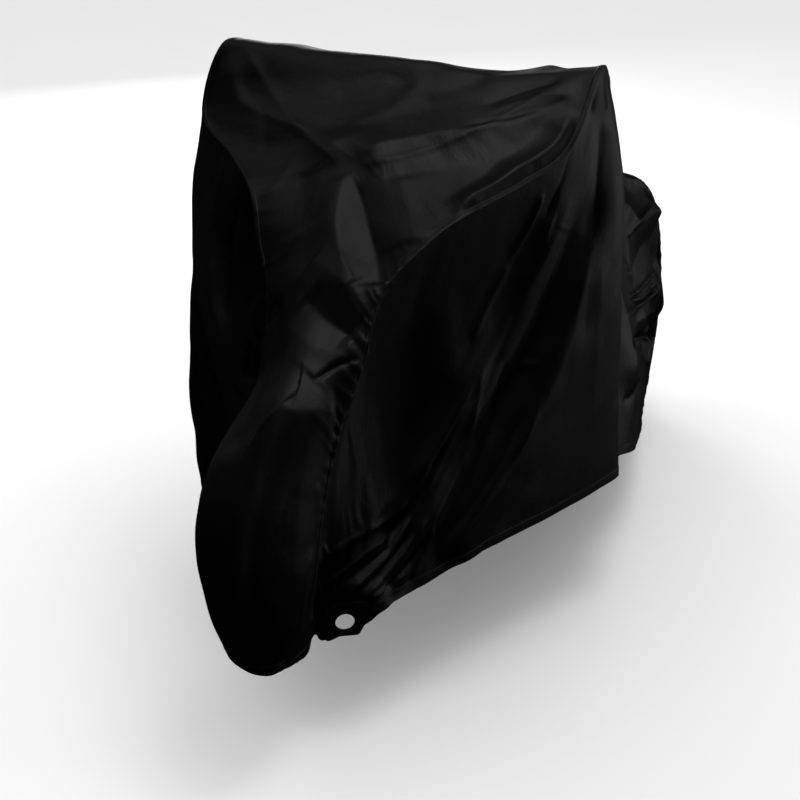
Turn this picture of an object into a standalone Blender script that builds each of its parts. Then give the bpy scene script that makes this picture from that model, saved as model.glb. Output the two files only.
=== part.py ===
# A fitted rain cover for a bicycle, hanging as it does over a parked one: a top strip that runs
# from the front hem up the nose, over the handlebar and the saddle and down the back, a side
# panel to the left and right of it, and a lock tab with an eyelet ring in each side's hem.
# Metres, +Z up, front towards -Y, the rider's left towards +X. The tables below measure from
# the floor under the front axle. The part's origin is CARRY, under the top, where the middle
# of the handlebar holds the cover up.
from collections import namedtuple
from math import cos, pi, radians, sin, tan

import bmesh
import bpy
import numpy as np
from mathutils import Matrix

CARRY = np.array([-0.070, 0.425, 1.059])  # the origin, from the floor under the front axle
CLOTH = 0.002  # thickness of the coated cloth
SEAM_GAP = 0.0015  # space between two panels along a seam
STATIONS = 77  # faces along the seams, front hem to rear hem
STRIP_FACES = 14  # faces across the top strip
LEFT_FACES = 20  # faces from the left seam down to the hem
RIGHT_FACES = 14  # faces from the right seam down to the hem

FOLD_STEPS = 16  # straight pieces in a fold's path
FOLD_FADE = 0.14  # share of a fold at each end over which it dies away
STRIP_CALM = 0.20  # share of the strip's half-width, at a seam, that folds leave
DROP_CALM = 0.08  # share of a side's drop, at the seam, that folds leave

TAB_FACING = radians(40)  # turned this far from straight ahead, to each side
TAB_FLAT = 0.050  # the cloth is flat this far from the eyelet
TAB_REACH = 0.095  # and takes its own shape from here
TAB_DEPTH = 0.080  # cloth further off the tab's plane is left alone
TAB_GAP = 0.0005  # space between a tab and its panel
CUTTER_DEPTH = 0.020  # of the block that clears a tab's place in its panel
ARC_STEPS = 5  # straight pieces in a tab's rounded corner
RING_STEPS = 28  # straight pieces round a ring
HOLE_RADIUS = 0.0170  # clear way through an eyelet ring
RING_RADIUS = 0.0250  # outside of the ring's flanges
RING_BARREL = 0.0022  # wall between the clear way and the cloth
RING_THICK = 0.0078  # over both flanges
RING_EDGE = 0.0010  # bevel of the flanges
RING_PLAY = 0.0004  # ring to cloth
TAB_HOLE = HOLE_RADIUS + RING_BARREL + RING_PLAY  # radius of the hole that holds the ring
LEFT_EYELET = np.array([0.1086, -0.1069, 0.223])
RIGHT_EYELET = np.array([-0.085, -0.105, 0.222])

# The corners of a lock tab, seen from outside with the rear to the right: along the hem and up
# from the middle of the ring, and the radius that rounds the corner.
Corner = namedtuple("Corner", "name along up radius")
TAB_CORNERS = [
    Corner("front, low", -0.036, -0.040, 0.008),
    Corner("under the ring", -0.010, -0.028, 0.015),
    Corner("rear, low", 0.024, -0.028, 0.007),
    Corner("rear side", 0.043, 0.010, 0.015),
    Corner("rear, high", 0.041, 0.037, 0.012),
    Corner("front, high", -0.040, 0.037, 0.012),
]

# One row for each cross-section of the top strip, front hem to rear hem: its right seam, its
# middle and its left seam, and how far each half stands proud of the straight line between.
Strip = namedtuple("Strip", "name rx ry rz cx cy cz lx ly lz proud_r proud_l")
STRIP = [
    Strip("front hem", -0.045, -0.240, 0.215, 0.072, -0.345, 0.245, 0.105, -0.292, 0.230, 0.016, 0.012),
    Strip("wheel front, low", -0.095, -0.220, 0.303, 0.080, -0.362, 0.335, 0.117, -0.220, 0.331, 0.030, 0.024),
    Strip("wheel front, high", -0.133, -0.180, 0.409, 0.078, -0.360, 0.440, 0.122, -0.200, 0.427, 0.038, 0.028),
    Strip("mudguard front", -0.125, -0.125, 0.510, 0.065, -0.315, 0.555, 0.120, -0.170, 0.513, 0.038, 0.026),
    Strip("knee", -0.104, -0.060, 0.575, 0.045, -0.235, 0.645, 0.123, -0.130, 0.607, 0.026, 0.018),
    Strip("mudguard top", -0.108, -0.020, 0.645, 0.025, -0.140, 0.705, 0.131, -0.070, 0.705, 0.012, 0.006),
    Strip("head tube", -0.130, 0.030, 0.755, -0.005, -0.010, 0.800, 0.127, 0.000, 0.806, 0.006, 0.004),
    Strip("under the lamp", -0.168, 0.060, 0.810, -0.030, 0.080, 0.865, 0.160, 0.070, 0.862, 0.002, 0.000),
    Strip("lamp", -0.205, 0.100, 0.872, -0.056, 0.170, 0.932, 0.183, 0.120, 0.890, -0.004, -0.004),
    Strip("top front", -0.310, 0.190, 0.905, -0.065, 0.290, 0.985, 0.235, 0.270, 0.922, 0.004, 0.006),
    Strip("before the bar", -0.432, 0.272, 0.945, -0.070, 0.370, 1.030, 0.268, 0.385, 0.960, 0.022, 0.018),
    Strip("handlebar", -0.425, 0.343, 1.064, -0.070, 0.425, 1.061, 0.263, 0.502, 1.071, 0.000, -0.014),
    Strip("behind the bar", -0.385, 0.445, 1.025, -0.060, 0.530, 1.000, 0.235, 0.600, 1.030, 0.000, 0.000),
    Strip("dip", -0.270, 0.620, 0.950, -0.050, 0.680, 0.925, 0.160, 0.750, 0.945, 0.000, 0.000),
    Strip("saddle nose", -0.150, 0.820, 0.895, -0.040, 0.850, 0.895, 0.090, 0.900, 0.892, 0.004, 0.004),
    Strip("saddle back", -0.120, 1.000, 0.875, -0.035, 1.030, 0.892, 0.050, 1.020, 0.872, 0.006, 0.006),
    Strip("behind the saddle", -0.115, 1.060, 0.755, -0.032, 1.090, 0.765, 0.042, 1.045, 0.770, 0.004, 0.004),
    Strip("rear wheel top", -0.120, 1.120, 0.640, -0.028, 1.150, 0.662, 0.048, 1.105, 0.665, 0.006, 0.006),
    Strip("rear slope", -0.115, 1.235, 0.580, -0.022, 1.265, 0.592, 0.052, 1.215, 0.614, 0.008, 0.008),
    Strip("rear corner", -0.105, 1.320, 0.490, -0.016, 1.365, 0.505, 0.050, 1.298, 0.535, 0.010, 0.010),
    Strip("rear back", -0.100, 1.360, 0.360, -0.008, 1.425, 0.350, 0.052, 1.345, 0.370, 0.010, 0.010),
    Strip("rear low", -0.085, 1.370, 0.200, -0.008, 1.415, 0.200, 0.045, 1.360, 0.205, 0.008, 0.008),
    Strip("rear hem", -0.065, 1.355, 0.078, -0.015, 1.385, 0.072, 0.028, 1.362, 0.076, 0.004, 0.004),
]

# One row for each section of a side panel: the strip section it starts from, its point on the
# hem, and how far it stands out from a straight drop a quarter, half and three quarters down.
Drop = namedtuple("Drop", "name at hx hy hz quarter half three")
LEFT_DROPS = [
    Drop("front end", 0, 0.103, -0.262, 0.222, 0.000, 0.000, 0.000),
    Drop("foot", 1, 0.100, -0.215, 0.212, 0.000, 0.000, 0.000),
    Drop("before the tab", 2, 0.090, -0.165, 0.203, -0.005, -0.010, -0.010),
    Drop("tab", 3, 0.0815, -0.1295, 0.190, -0.018, -0.020, -0.010),
    Drop("behind the tab", 4, 0.135, -0.085, 0.214, -0.034, -0.030, -0.020),
    Drop("hollow, front", 5, 0.154, -0.058, 0.236, -0.050, -0.040, -0.030),
    Drop("hollow", 6, 0.172, 0.025, 0.238, -0.050, -0.042, -0.024),
    Drop("hollow, deep", 7, 0.185, 0.080, 0.240, -0.050, -0.042, -0.006),
    Drop("hollow, back", 8, 0.205, 0.160, 0.243, -0.038, -0.014, 0.000),
    Drop("curtain, front", 9, 0.235, 0.275, 0.244, -0.022, -0.006, 0.004),
    Drop("curtain", 10, 0.268, 0.400, 0.243, -0.004, 0.012, 0.012),
    Drop("under the grip", 11, 0.307, 0.553, 0.252, 0.028, 0.024, 0.010),
    Drop("curtain, back", 12, 0.283, 0.620, 0.238, 0.010, -0.005, -0.005),
    Drop("tuck", 13, 0.250, 0.700, 0.220, -0.040, -0.045, -0.030),
    Drop("pedal", 14, 0.227, 0.836, 0.170, -0.030, -0.020, 0.010),
    Drop("saddle side", 15, 0.190, 0.950, 0.145, -0.010, 0.000, 0.010),
    Drop("rear side, front", 16, 0.165, 1.020, 0.130, 0.010, 0.010, 0.005),
    Drop("rear side", 17, 0.130, 1.100, 0.118, 0.020, 0.015, 0.005),
    Drop("rear side, back", 18, 0.095, 1.190, 0.100, 0.015, 0.010, 0.005),
    Drop("rear turn", 19, 0.072, 1.252, 0.090, 0.010, 0.010, 0.005),
    Drop("rear edge", 20, 0.055, 1.300, 0.084, 0.005, 0.005, 0.000),
    Drop("rear foot", 21, 0.047, 1.322, 0.081, 0.000, 0.000, 0.000),
    Drop("rear end", 22, 0.038, 1.338, 0.079, 0.000, 0.000, 0.000),
]
RIGHT_DROPS = [
    Drop("front end", 0, -0.055, -0.225, 0.212, 0.000, 0.000, 0.000),
    Drop("foot", 1, -0.065, -0.185, 0.205, 0.000, 0.000, 0.000),
    Drop("before the tab", 2, -0.060, -0.150, 0.198, -0.005, -0.010, -0.005),
    Drop("tab", 3, -0.0575, -0.128, 0.189, -0.020, -0.020, -0.010),
    Drop("behind the tab", 4, -0.112, -0.082, 0.213, -0.025, -0.025, -0.010),
    Drop("hollow, front", 5, -0.150, -0.050, 0.222, -0.030, -0.030, -0.010),
    Drop("hollow", 6, -0.205, -0.010, 0.222, -0.050, -0.045, -0.010),
    Drop("hollow, deep", 7, -0.250, 0.025, 0.230, -0.060, -0.040, 0.000),
    Drop("hollow, back", 8, -0.300, 0.065, 0.238, -0.050, -0.010, 0.015),
    Drop("curtain, front", 9, -0.345, 0.105, 0.245, 0.000, 0.025, 0.030),
    Drop("curtain", 10, -0.375, 0.150, 0.248, 0.006, 0.034, 0.034),
    Drop("under the grip", 11, -0.428, 0.296, 0.255, 0.006, 0.028, 0.024),
    Drop("curtain, back", 12, -0.418, 0.420, 0.248, 0.004, 0.012, 0.008),
    Drop("tuck", 13, -0.350, 0.600, 0.225, -0.030, -0.035, -0.020),
    Drop("pedal", 14, -0.300, 0.780, 0.180, -0.030, -0.015, 0.010),
    Drop("saddle side", 15, -0.245, 0.930, 0.145, -0.010, 0.000, 0.010),
    Drop("rear side, front", 16, -0.215, 1.020, 0.130, 0.005, 0.010, 0.005),
    Drop("rear side", 17, -0.180, 1.110, 0.118, 0.015, 0.015, 0.005),
    Drop("rear side, back", 18, -0.145, 1.200, 0.100, 0.015, 0.010, 0.005),
    Drop("rear turn", 19, -0.122, 1.262, 0.090, 0.010, 0.010, 0.005),
    Drop("rear edge", 20, -0.102, 1.305, 0.084, 0.005, 0.005, 0.000),
    Drop("rear foot", 21, -0.090, 1.322, 0.081, 0.000, 0.000, 0.000),
    Drop("rear end", 22, -0.080, 1.335, 0.079, 0.000, 0.000, 0.000),
]

# Folds: each runs through three places on its panel, given as a strip section and a share of the
# way across the strip (-1 to 1) or down the side (0 to 1). Width is to where it stands at half
# its height, and height is out of the cloth, so a trough has a minus. Both go from start to end.
Fold = namedtuple("Fold", "name at_a by_a at_b by_b at_c by_c wide_a wide_c high_a high_c")
STRIP_FOLDS = [
    Fold("right grip to lamp", 10.80, -0.93, 9.40, -0.62, 8.02, -0.03, 0.030, 0.040, 0.010, 0.018),
    Fold("left grip to lamp", 10.80, 0.93, 9.55, 0.56, 8.02, 0.03, 0.028, 0.040, 0.008, 0.018),
    Fold("edge of the bright face", 7.95, 0.01, 6.85, 0.06, 5.45, 0.88, 0.026, 0.030, 0.007, 0.010),
    Fold("right of the bright face", 7.95, 0.06, 6.80, 0.50, 6.00, 0.90, 0.022, 0.028, -0.011, -0.014),
    Fold("beside the bright face", 8.30, 0.38, 7.85, 0.62, 6.95, 0.90, 0.034, 0.036, 0.006, 0.006),
    Fold("right of the lamp", 8.25, -0.48, 7.65, -0.43, 6.90, -0.25, 0.034, 0.034, -0.004, -0.003),
    Fold("lip of the wedge", 8.10, 0.96, 9.30, 0.93, 10.45, 0.95, 0.022, 0.022, 0.024, 0.022),
    Fold("knee, upper", 6.35, -0.15, 6.12, 0.22, 5.90, 0.58, 0.028, 0.026, 0.006, 0.008),
    Fold("knee, between", 5.80, -0.10, 5.58, 0.30, 5.28, 0.80, 0.026, 0.026, -0.012, -0.012),
    Fold("knee, lower", 4.30, 0.12, 4.14, 0.34, 4.25, 0.84, 0.052, 0.040, 0.018, 0.014),
    Fold("nose, right flank", 5.90, -0.80, 4.70, -0.45, 3.20, -0.30, 0.040, 0.050, -0.012, -0.006),
    Fold("behind the bar, left", 11.30, 0.80, 12.40, 0.35, 13.60, 0.05, 0.030, 0.045, 0.012, 0.010),
    Fold("behind the bar, right", 11.30, -0.85, 12.60, -0.40, 13.80, -0.10, 0.030, 0.045, 0.010, 0.012),
    Fold("dip", 11.80, 0.10, 12.60, 0.00, 13.70, 0.45, 0.045, 0.040, -0.012, -0.010),
    Fold("knee, upper lip", 4.72, 0.34, 4.98, 0.56, 5.20, 0.86, 0.026, 0.024, 0.004, 0.006),
]
LEFT_FOLDS = [
    Fold("grip to eyelet", 10.80, 0.05, 8.08, 0.60, 5.20, 0.92, 0.026, 0.032, 0.012, 0.016),
    Fold("grip to nose", 10.30, 0.05, 7.72, 0.58, 4.60, 0.70, 0.024, 0.028, 0.012, 0.010),
    Fold("between them", 9.40, 0.26, 7.60, 0.66, 5.20, 0.82, 0.022, 0.024, -0.010, -0.010),
    Fold("behind the ridges", 10.45, 0.14, 8.75, 0.58, 6.70, 0.94, 0.026, 0.030, -0.020, -0.022),
    Fold("curtain edge", 10.55, 0.26, 9.20, 0.66, 6.90, 0.95, 0.042, 0.056, 0.016, 0.028),
    Fold("curtain, shallow", 10.90, 0.10, 10.42, 0.25, 10.15, 0.55, 0.020, 0.040, -0.008, -0.006),
    Fold("foot, upper", 2.60, 0.40, 3.70, 0.56, 5.60, 0.74, 0.020, 0.024, 0.008, 0.006),
    Fold("rear face", 19.10, 0.04, 17.60, 0.16, 15.90, 0.22, 0.030, 0.034, 0.016, 0.014),
    Fold("under the rear face", 19.60, 0.30, 17.90, 0.28, 16.30, 0.45, 0.036, 0.050, -0.018, -0.012),
    Fold("rear, middle", 20.30, 0.36, 18.40, 0.46, 16.40, 0.66, 0.028, 0.044, 0.014, 0.010),
    Fold("rear, under the middle", 20.40, 0.60, 19.00, 0.62, 17.40, 0.78, 0.026, 0.034, -0.016, -0.008),
    Fold("saddle side", 14.60, 0.08, 14.20, 0.45, 13.80, 0.85, 0.040, 0.060, 0.012, 0.016),
    Fold("behind the grip", 12.10, 0.10, 12.80, 0.45, 13.30, 0.88, 0.030, 0.050, -0.016, -0.014),
]
RIGHT_FOLDS = [
    Fold("grip to eyelet", 10.75, 0.06, 8.60, 0.50, 4.90, 0.88, 0.022, 0.036, 0.014, 0.018),
    Fold("grip to nose", 10.40, 0.08, 8.00, 0.50, 4.20, 0.55, 0.020, 0.030, 0.010, 0.012),
    Fold("hollow", 9.50, 0.20, 7.60, 0.46, 5.80, 0.55, 0.034, 0.040, -0.012, -0.014),
    Fold("curtain, front", 10.90, 0.14, 10.10, 0.52, 9.10, 0.92, 0.030, 0.050, -0.012, -0.014),
    Fold("curtain, back", 11.60, 0.12, 11.90, 0.50, 12.30, 0.92, 0.030, 0.055, 0.012, 0.014),
    Fold("behind the grip", 12.40, 0.12, 12.90, 0.50, 13.30, 0.90, 0.034, 0.055, -0.014, -0.016),
    Fold("saddle side", 14.70, 0.08, 14.40, 0.45, 13.90, 0.88, 0.040, 0.060, 0.012, 0.016),
    Fold("saddle to wheel", 15.80, 0.10, 15.60, 0.45, 15.20, 0.85, 0.036, 0.050, -0.012, -0.014),
    Fold("rear face", 18.80, 0.08, 17.30, 0.22, 15.90, 0.34, 0.034, 0.044, 0.014, 0.016),
    Fold("rear, middle", 20.20, 0.40, 18.40, 0.50, 16.40, 0.60, 0.034, 0.044, -0.012, -0.014),
    Fold("rear, lower", 20.40, 0.60, 18.40, 0.72, 16.80, 0.78, 0.034, 0.044, 0.012, 0.012),
]


def unit(v):
    """Vectors of length 1, along the last axis."""
    return v / np.maximum(np.linalg.norm(v, axis=-1, keepdims=True), 1e-9)


def smooth(knots, values, at):
    """A cubic curve through values at the knots, read at the places in at."""
    slopes = np.gradient(values, knots, axis=0)
    i = np.clip(np.searchsorted(knots, at, side="right") - 1, 0, len(knots) - 2)
    span = (knots[i + 1] - knots[i])[:, None]
    u = (at - knots[i])[:, None] / span
    start = (1 + 2 * u) * (1 - u) ** 2 * values[i] + u * (1 - u) ** 2 * span * slopes[i]
    end = u * u * (3 - 2 * u) * values[i + 1] + u * u * (u - 1) * span * slopes[i + 1]
    return start + end


def strip_knots():
    """How far along the strip each of its sections lies, in metres."""
    rows = np.array([row[1:10] for row in STRIP]).reshape(-1, 3, 3)
    steps = np.linalg.norm(np.diff(rows, axis=0), axis=2).mean(axis=1)
    return np.concatenate([[0.0], np.cumsum(steps)])


def ease(x):
    """0 up to 1 with no corner, for x from 0 to 1."""
    x = np.clip(x, 0.0, 1.0)
    return x * x * (3 - 2 * x)


def run_of(knots, values, along):
    """The direction in which a curve through values runs, at the places in along."""
    ahead = smooth(knots, values, np.minimum(along + 0.01, knots[-1]))
    behind = smooth(knots, values, np.maximum(along - 0.01, 0.0))
    return ahead - behind


def strip_surface(along, across):
    """Points of the top strip: along in metres, across from -1, right seam, to 1, left seam."""
    knots = strip_knots()
    table = np.array([row[1:] for row in STRIP])
    rows = smooth(knots, table, along)
    right, centre, left = rows[:, 0:3], rows[:, 3:6], rows[:, 6:9]
    run = unit(run_of(knots, table[:, 3:6], along))
    bulge_r = unit(np.cross(run, right - centre)) * rows[:, 9:10]
    bulge_l = unit(np.cross(left - centre, run)) * rows[:, 10:11]
    ladder = np.stack([right, (right + centre) / 2 + bulge_r, centre, (left + centre) / 2 + bulge_l, left])
    flat = smooth(np.array([-1.0, -0.5, 0.0, 0.5, 1.0]), ladder.reshape(5, -1), across)
    return flat.reshape(len(across), len(along), 3).transpose(1, 0, 2)


def panel_surface(along, down, drops, side):
    """Points of a side panel: along in metres, down from 0, its seam, to 1, its hem."""
    knots = strip_knots()
    seam_column = slice(7, 10) if side > 0 else slice(1, 4)
    seam_table = np.array([row[seam_column] for row in STRIP])
    at = np.interp([row.at for row in drops], np.arange(len(knots)), knots)
    drop_table = np.array([row[2:] for row in drops])
    seam = smooth(knots, seam_table, along)
    rows = smooth(at, drop_table, along)
    hem = rows[:, 0:3]
    run = run_of(knots, seam_table, along) + run_of(at, drop_table[:, 0:3], along)
    out = unit(np.stack([run[:, 1], -run[:, 0], 0 * run[:, 0]], axis=1)) * side
    ladder = np.stack([
        seam,
        seam + (hem - seam) * 0.25 + out * rows[:, 3:4],
        (seam + hem) / 2 + out * rows[:, 4:5],
        seam + (hem - seam) * 0.75 + out * rows[:, 5:6],
        hem,
    ])
    flat = smooth(np.array([0.0, 0.25, 0.5, 0.75, 1.0]), ladder.reshape(5, -1), down)
    return flat.reshape(len(down), len(along), 3).transpose(1, 0, 2)


def nearest_on_path(points, path):
    """Each point's distance to a path, and how far along the path that is, from 0 to 1."""
    best = np.full(len(points), np.inf)
    place = np.zeros(len(points))
    for k, (a, b) in enumerate(zip(path[:-1], path[1:])):
        step = b - a
        share = np.clip((points - a) @ step / max(step @ step, 1e-12), 0.0, 1.0)
        gap = np.linalg.norm(points - a - share[:, None] * step, axis=1)
        nearer = gap < best
        best = np.where(nearer, gap, best)
        place = np.where(nearer, (k + share) / (len(path) - 1), place)
    return best, place


def lift_of_folds(points, folds, surface):
    """How far each point of a sheet stands out because of its folds."""
    flat = points.reshape(-1, 3)
    lift = np.zeros(len(flat))
    u = np.linspace(0, 1, FOLD_STEPS + 1)
    sections = np.arange(len(STRIP))
    for fold in folds:
        ends = np.array([[fold.at_a, fold.by_a], [fold.at_b, fold.by_b], [fold.at_c, fold.by_c]])
        places = smooth(np.array([0.0, 0.5, 1.0]), ends, u)
        along = np.interp(places[:, 0], sections, strip_knots())
        path = np.array([surface(np.array([a]), np.array([b]))[0, 0] for a, b in zip(along, places[:, 1])])
        gap, place = nearest_on_path(flat, path)
        wide = fold.wide_a + (fold.wide_c - fold.wide_a) * place
        high = fold.high_a + (fold.high_c - fold.high_a) * place
        high = high * ease(place / FOLD_FADE) * ease((1 - place) / FOLD_FADE)
        lift += high * ease(1 - gap / (wide * 2))
    return lift.reshape(points.shape[:2])


def grid_normals(points, side):
    """Unit normals of a grid of points, outwards."""
    a = np.gradient(points, axis=0)
    b = np.gradient(points, axis=1)
    return unit(np.cross(a, b)) * side


def grid_mesh(name, points, flip):
    """An open sheet of quads over a grid of points."""
    rows, columns = points.shape[:2]
    index = np.arange(rows * columns).reshape(rows, columns)
    faces = np.stack([index[:-1, :-1], index[1:, :-1], index[1:, 1:], index[:-1, 1:]], axis=-1)
    faces = faces.reshape(-1, 4)
    if flip:
        faces = faces[:, ::-1]
    mesh = bpy.data.meshes.new(name)
    mesh.from_pydata(points.reshape(-1, 3).tolist(), [], faces.tolist())
    mesh.shade_smooth()
    return mesh


def square_to(v, line):
    """Unit vectors along the part of v that is square to a line's direction."""
    return unit(v - (v * line).sum(axis=1, keepdims=True) * line)


def set_back_from_seam(panel, strip_edge, strip_inner, panel_out, strip_out):
    """Draws a panel away from its seam until its thickness clears the strip's."""
    line = unit(np.gradient(strip_edge, axis=0))
    panel_in = square_to(panel[:, 1] - panel[:, 0], line)
    strip_in = square_to(strip_inner - strip_edge, line)
    angle = np.arccos((strip_in * panel_in).sum(axis=1).clip(-0.999, 0.999))
    convex = ((strip_in + panel_in) * (strip_out + panel_out)).sum(axis=1) < 0
    need = np.where(angle > pi / 2, np.sin(angle), 1 / np.tan(angle / 2))
    setback = SEAM_GAP + CLOTH * np.where(convex, need, 0.0)
    share = np.linspace(1, 0, panel.shape[1]) ** 3
    panel += (panel_in * setback[:, None])[:, None, :] * share[:, None]


def stations():
    """Where the sheets have their cross rows of points: as many between any two sections."""
    sections = np.arange(len(STRIP))
    return np.interp(np.linspace(0, sections[-1], STATIONS + 1), sections, strip_knots())


def strip_points():
    along = stations()
    across = np.linspace(-1, 1, STRIP_FACES + 1)
    points = strip_surface(along, across)
    lift = lift_of_folds(points, STRIP_FOLDS, strip_surface)
    lift = lift * ease((1 - np.abs(across)) / STRIP_CALM)
    return points + grid_normals(points, -1) * lift[:, :, None]


def panel_points(drops, folds, faces, side):
    def surface(along, down):
        return panel_surface(along, down, drops, side)

    down = np.linspace(0, 1, faces + 1)
    points = surface(stations(), down)
    lift = lift_of_folds(points, folds, surface) * ease(down / DROP_CALM)
    points = flatten_at_tab(points + grid_normals(points, -side) * lift[:, :, None], side)
    strip = strip_points()
    edge, inner = (strip[:, -1], strip[:, -2]) if side > 0 else (strip[:, 0], strip[:, 1])
    strip_out = grid_normals(strip, -1)[:, -1 if side > 0 else 0]
    panel_out = grid_normals(points, -side)[:, 0]
    set_back_from_seam(points, edge, inner, panel_out, strip_out)
    return points


def tab_axes(side):
    """A tab's place and its directions: along the hem, up, and out of the cloth."""
    place = LEFT_EYELET if side > 0 else RIGHT_EYELET
    out = np.array([side * sin(TAB_FACING), -cos(TAB_FACING), 0.0])
    return place, np.cross([0.0, 0.0, 1.0], out), np.array([0.0, 0.0, 1.0]), out


def flatten_at_tab(points, side):
    """Draws the cloth round a lock tab into the tab's plane."""
    place, _, _, out = tab_axes(side)
    away = points - place
    off = away @ out
    reach = np.linalg.norm(away - off[..., None] * out, axis=-1)
    pull = ease((TAB_REACH - reach) / (TAB_REACH - TAB_FLAT)) * ease((TAB_DEPTH - np.abs(off)) / TAB_DEPTH * 2)
    return points - (pull * off)[..., None] * out


def cloth_material():
    material = bpy.data.materials.new("black coated cloth")
    material.use_nodes = True
    surface = material.node_tree.nodes["Principled BSDF"]
    surface.inputs["Base Color"].default_value = (0.008, 0.008, 0.009, 1.0)
    surface.inputs["Roughness"].default_value = 0.42
    surface.inputs["Metallic"].default_value = 0.0
    return material


def ring_material():
    material = bpy.data.materials.new("black moulded plastic")
    material.use_nodes = True
    surface = material.node_tree.nodes["Principled BSDF"]
    surface.inputs["Base Color"].default_value = (0.006, 0.006, 0.006, 1.0)
    surface.inputs["Roughness"].default_value = 0.30
    surface.inputs["Metallic"].default_value = 0.0
    return material


def add(name, data, material, collection):
    """A named object of the cover, placed so that CARRY is the origin."""
    thing = bpy.data.objects.new(name, data)
    data.materials.append(material)
    collection.objects.link(thing)
    thing.location = -CARRY
    return thing


def tab_outline(side, grow):
    """Points round a lock tab, grown by grow, in the tab's own plane."""
    corners = np.array([[row.along * side, row.up] for row in TAB_CORNERS])[::side]
    radii = [row.radius for row in TAB_CORNERS][::side]
    points = []
    for before, here, after, radius in zip(np.roll(corners, 1, 0), corners, np.roll(corners, -1, 0), radii):
        back, ahead = unit(before - here), unit(after - here)
        half = np.arccos(np.clip(back @ ahead, -1, 1)) / 2
        bend = np.sign(back[1] * ahead[0] - back[0] * ahead[1])
        centre = here + unit(back + ahead) * radius / sin(half)
        arm = unit(here + back * radius / tan(half) - centre) * (radius + grow * bend)
        for k in range(ARC_STEPS + 1):
            turn = bend * (pi - 2 * half) * k / ARC_STEPS
            x = arm[0] * cos(turn) - arm[1] * sin(turn)
            y = arm[0] * sin(turn) + arm[1] * cos(turn)
            points.append(centre + np.array([x, y]))
    return points


def flat_curve(name, outlines, thickness):
    """A flat shape with its own thickness; outlines after the first are holes."""
    curve = bpy.data.curves.new(name, "CURVE")
    curve.dimensions = "2D"
    curve.fill_mode = "BOTH"
    curve.extrude = thickness / 2
    for outline in outlines:
        spline = curve.splines.new("POLY")
        spline.points.add(len(outline) - 1)
        for point, (x, y) in zip(spline.points, outline):
            point.co = (x, y, 0.0, 1.0)
        spline.use_cyclic_u = True
    return curve


def tab_matrix(side):
    """Stands a flat shape in a lock tab's place, in the middle of the cloth's thickness."""
    place, along, up, out = tab_axes(side)
    matrix = Matrix((along, up, out)).transposed().to_4x4()
    matrix.translation = place - CARRY - out * CLOTH / 2
    return matrix


def add_tab(name, side, material, collection):
    hole = [
        (TAB_HOLE * cos(turn), TAB_HOLE * sin(turn))
        for turn in np.linspace(0, 2 * pi, RING_STEPS, endpoint=False)
    ]
    tab = add(name, flat_curve(name, [tab_outline(side, 0.0), hole], CLOTH), material, collection)
    tab.matrix_world = tab_matrix(side)


def add_ring(name, side, material, collection):
    """An eyelet ring: a turned reel whose groove holds the edge of the tab's hole."""
    top, groove = RING_THICK / 2, CLOTH / 2 + RING_PLAY
    barrel = HOLE_RADIUS + RING_BARREL
    profile = [
        (RING_RADIUS, top - RING_EDGE), (RING_RADIUS, groove), (barrel, groove), (barrel, -groove),
        (RING_RADIUS, -groove), (RING_RADIUS, RING_EDGE - top), (RING_RADIUS - RING_EDGE, -top),
        (HOLE_RADIUS + RING_EDGE, -top), (HOLE_RADIUS, RING_EDGE - top), (HOLE_RADIUS, top - RING_EDGE),
        (HOLE_RADIUS + RING_EDGE, top), (RING_RADIUS - RING_EDGE, top),
    ]
    mesh = bpy.data.meshes.new(name)
    edges = [(k, (k + 1) % len(profile)) for k in range(len(profile))]
    mesh.from_pydata([(x, 0.0, z) for x, z in profile], edges, [])
    ring = add(name, mesh, material, collection)
    ring.matrix_world = tab_matrix(side)
    turn = ring.modifiers.new("turned", "SCREW")
    turn.steps = RING_STEPS
    turn.render_steps = RING_STEPS
    turn.use_merge_vertices = True
    turn.merge_threshold = 0.00005
    turn.use_smooth_shade = False


def cut_for_tab(panel, side, cutters):
    """Clears a lock tab's place, open to the hem, in its panel."""
    name = "cutter for " + panel.name
    curve = bpy.data.objects.new(name, flat_curve(name, [tab_outline(side, TAB_GAP)], CUTTER_DEPTH))
    cutters.objects.link(curve)
    bpy.context.view_layer.update()
    shape = bpy.data.meshes.new_from_object(curve.evaluated_get(bpy.context.evaluated_depsgraph_get()))
    bpy.data.objects.remove(curve)
    solid = bmesh.new()
    solid.from_mesh(shape)
    bmesh.ops.remove_doubles(solid, verts=solid.verts, dist=0.00001)
    bmesh.ops.recalc_face_normals(solid, faces=solid.faces)
    solid.to_mesh(shape)
    solid.free()
    cutter = bpy.data.objects.new(name, shape)
    cutters.objects.link(cutter)
    cutter.matrix_world = tab_matrix(side)
    cutter.hide_render = True
    cutter.display_type = "WIRE"
    cut = panel.modifiers.new("place of the lock tab", "BOOLEAN")
    cut.operation = "DIFFERENCE"
    cut.solver = "EXACT"
    cut.object = cutter


def add_sheet(name, points, flip, material, collection):
    sheet = add(name, grid_mesh(name, points, flip), material, collection)
    shell = sheet.modifiers.new("cloth thickness", "SOLIDIFY")
    shell.thickness = CLOTH
    shell.offset = -1.0
    return sheet


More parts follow.
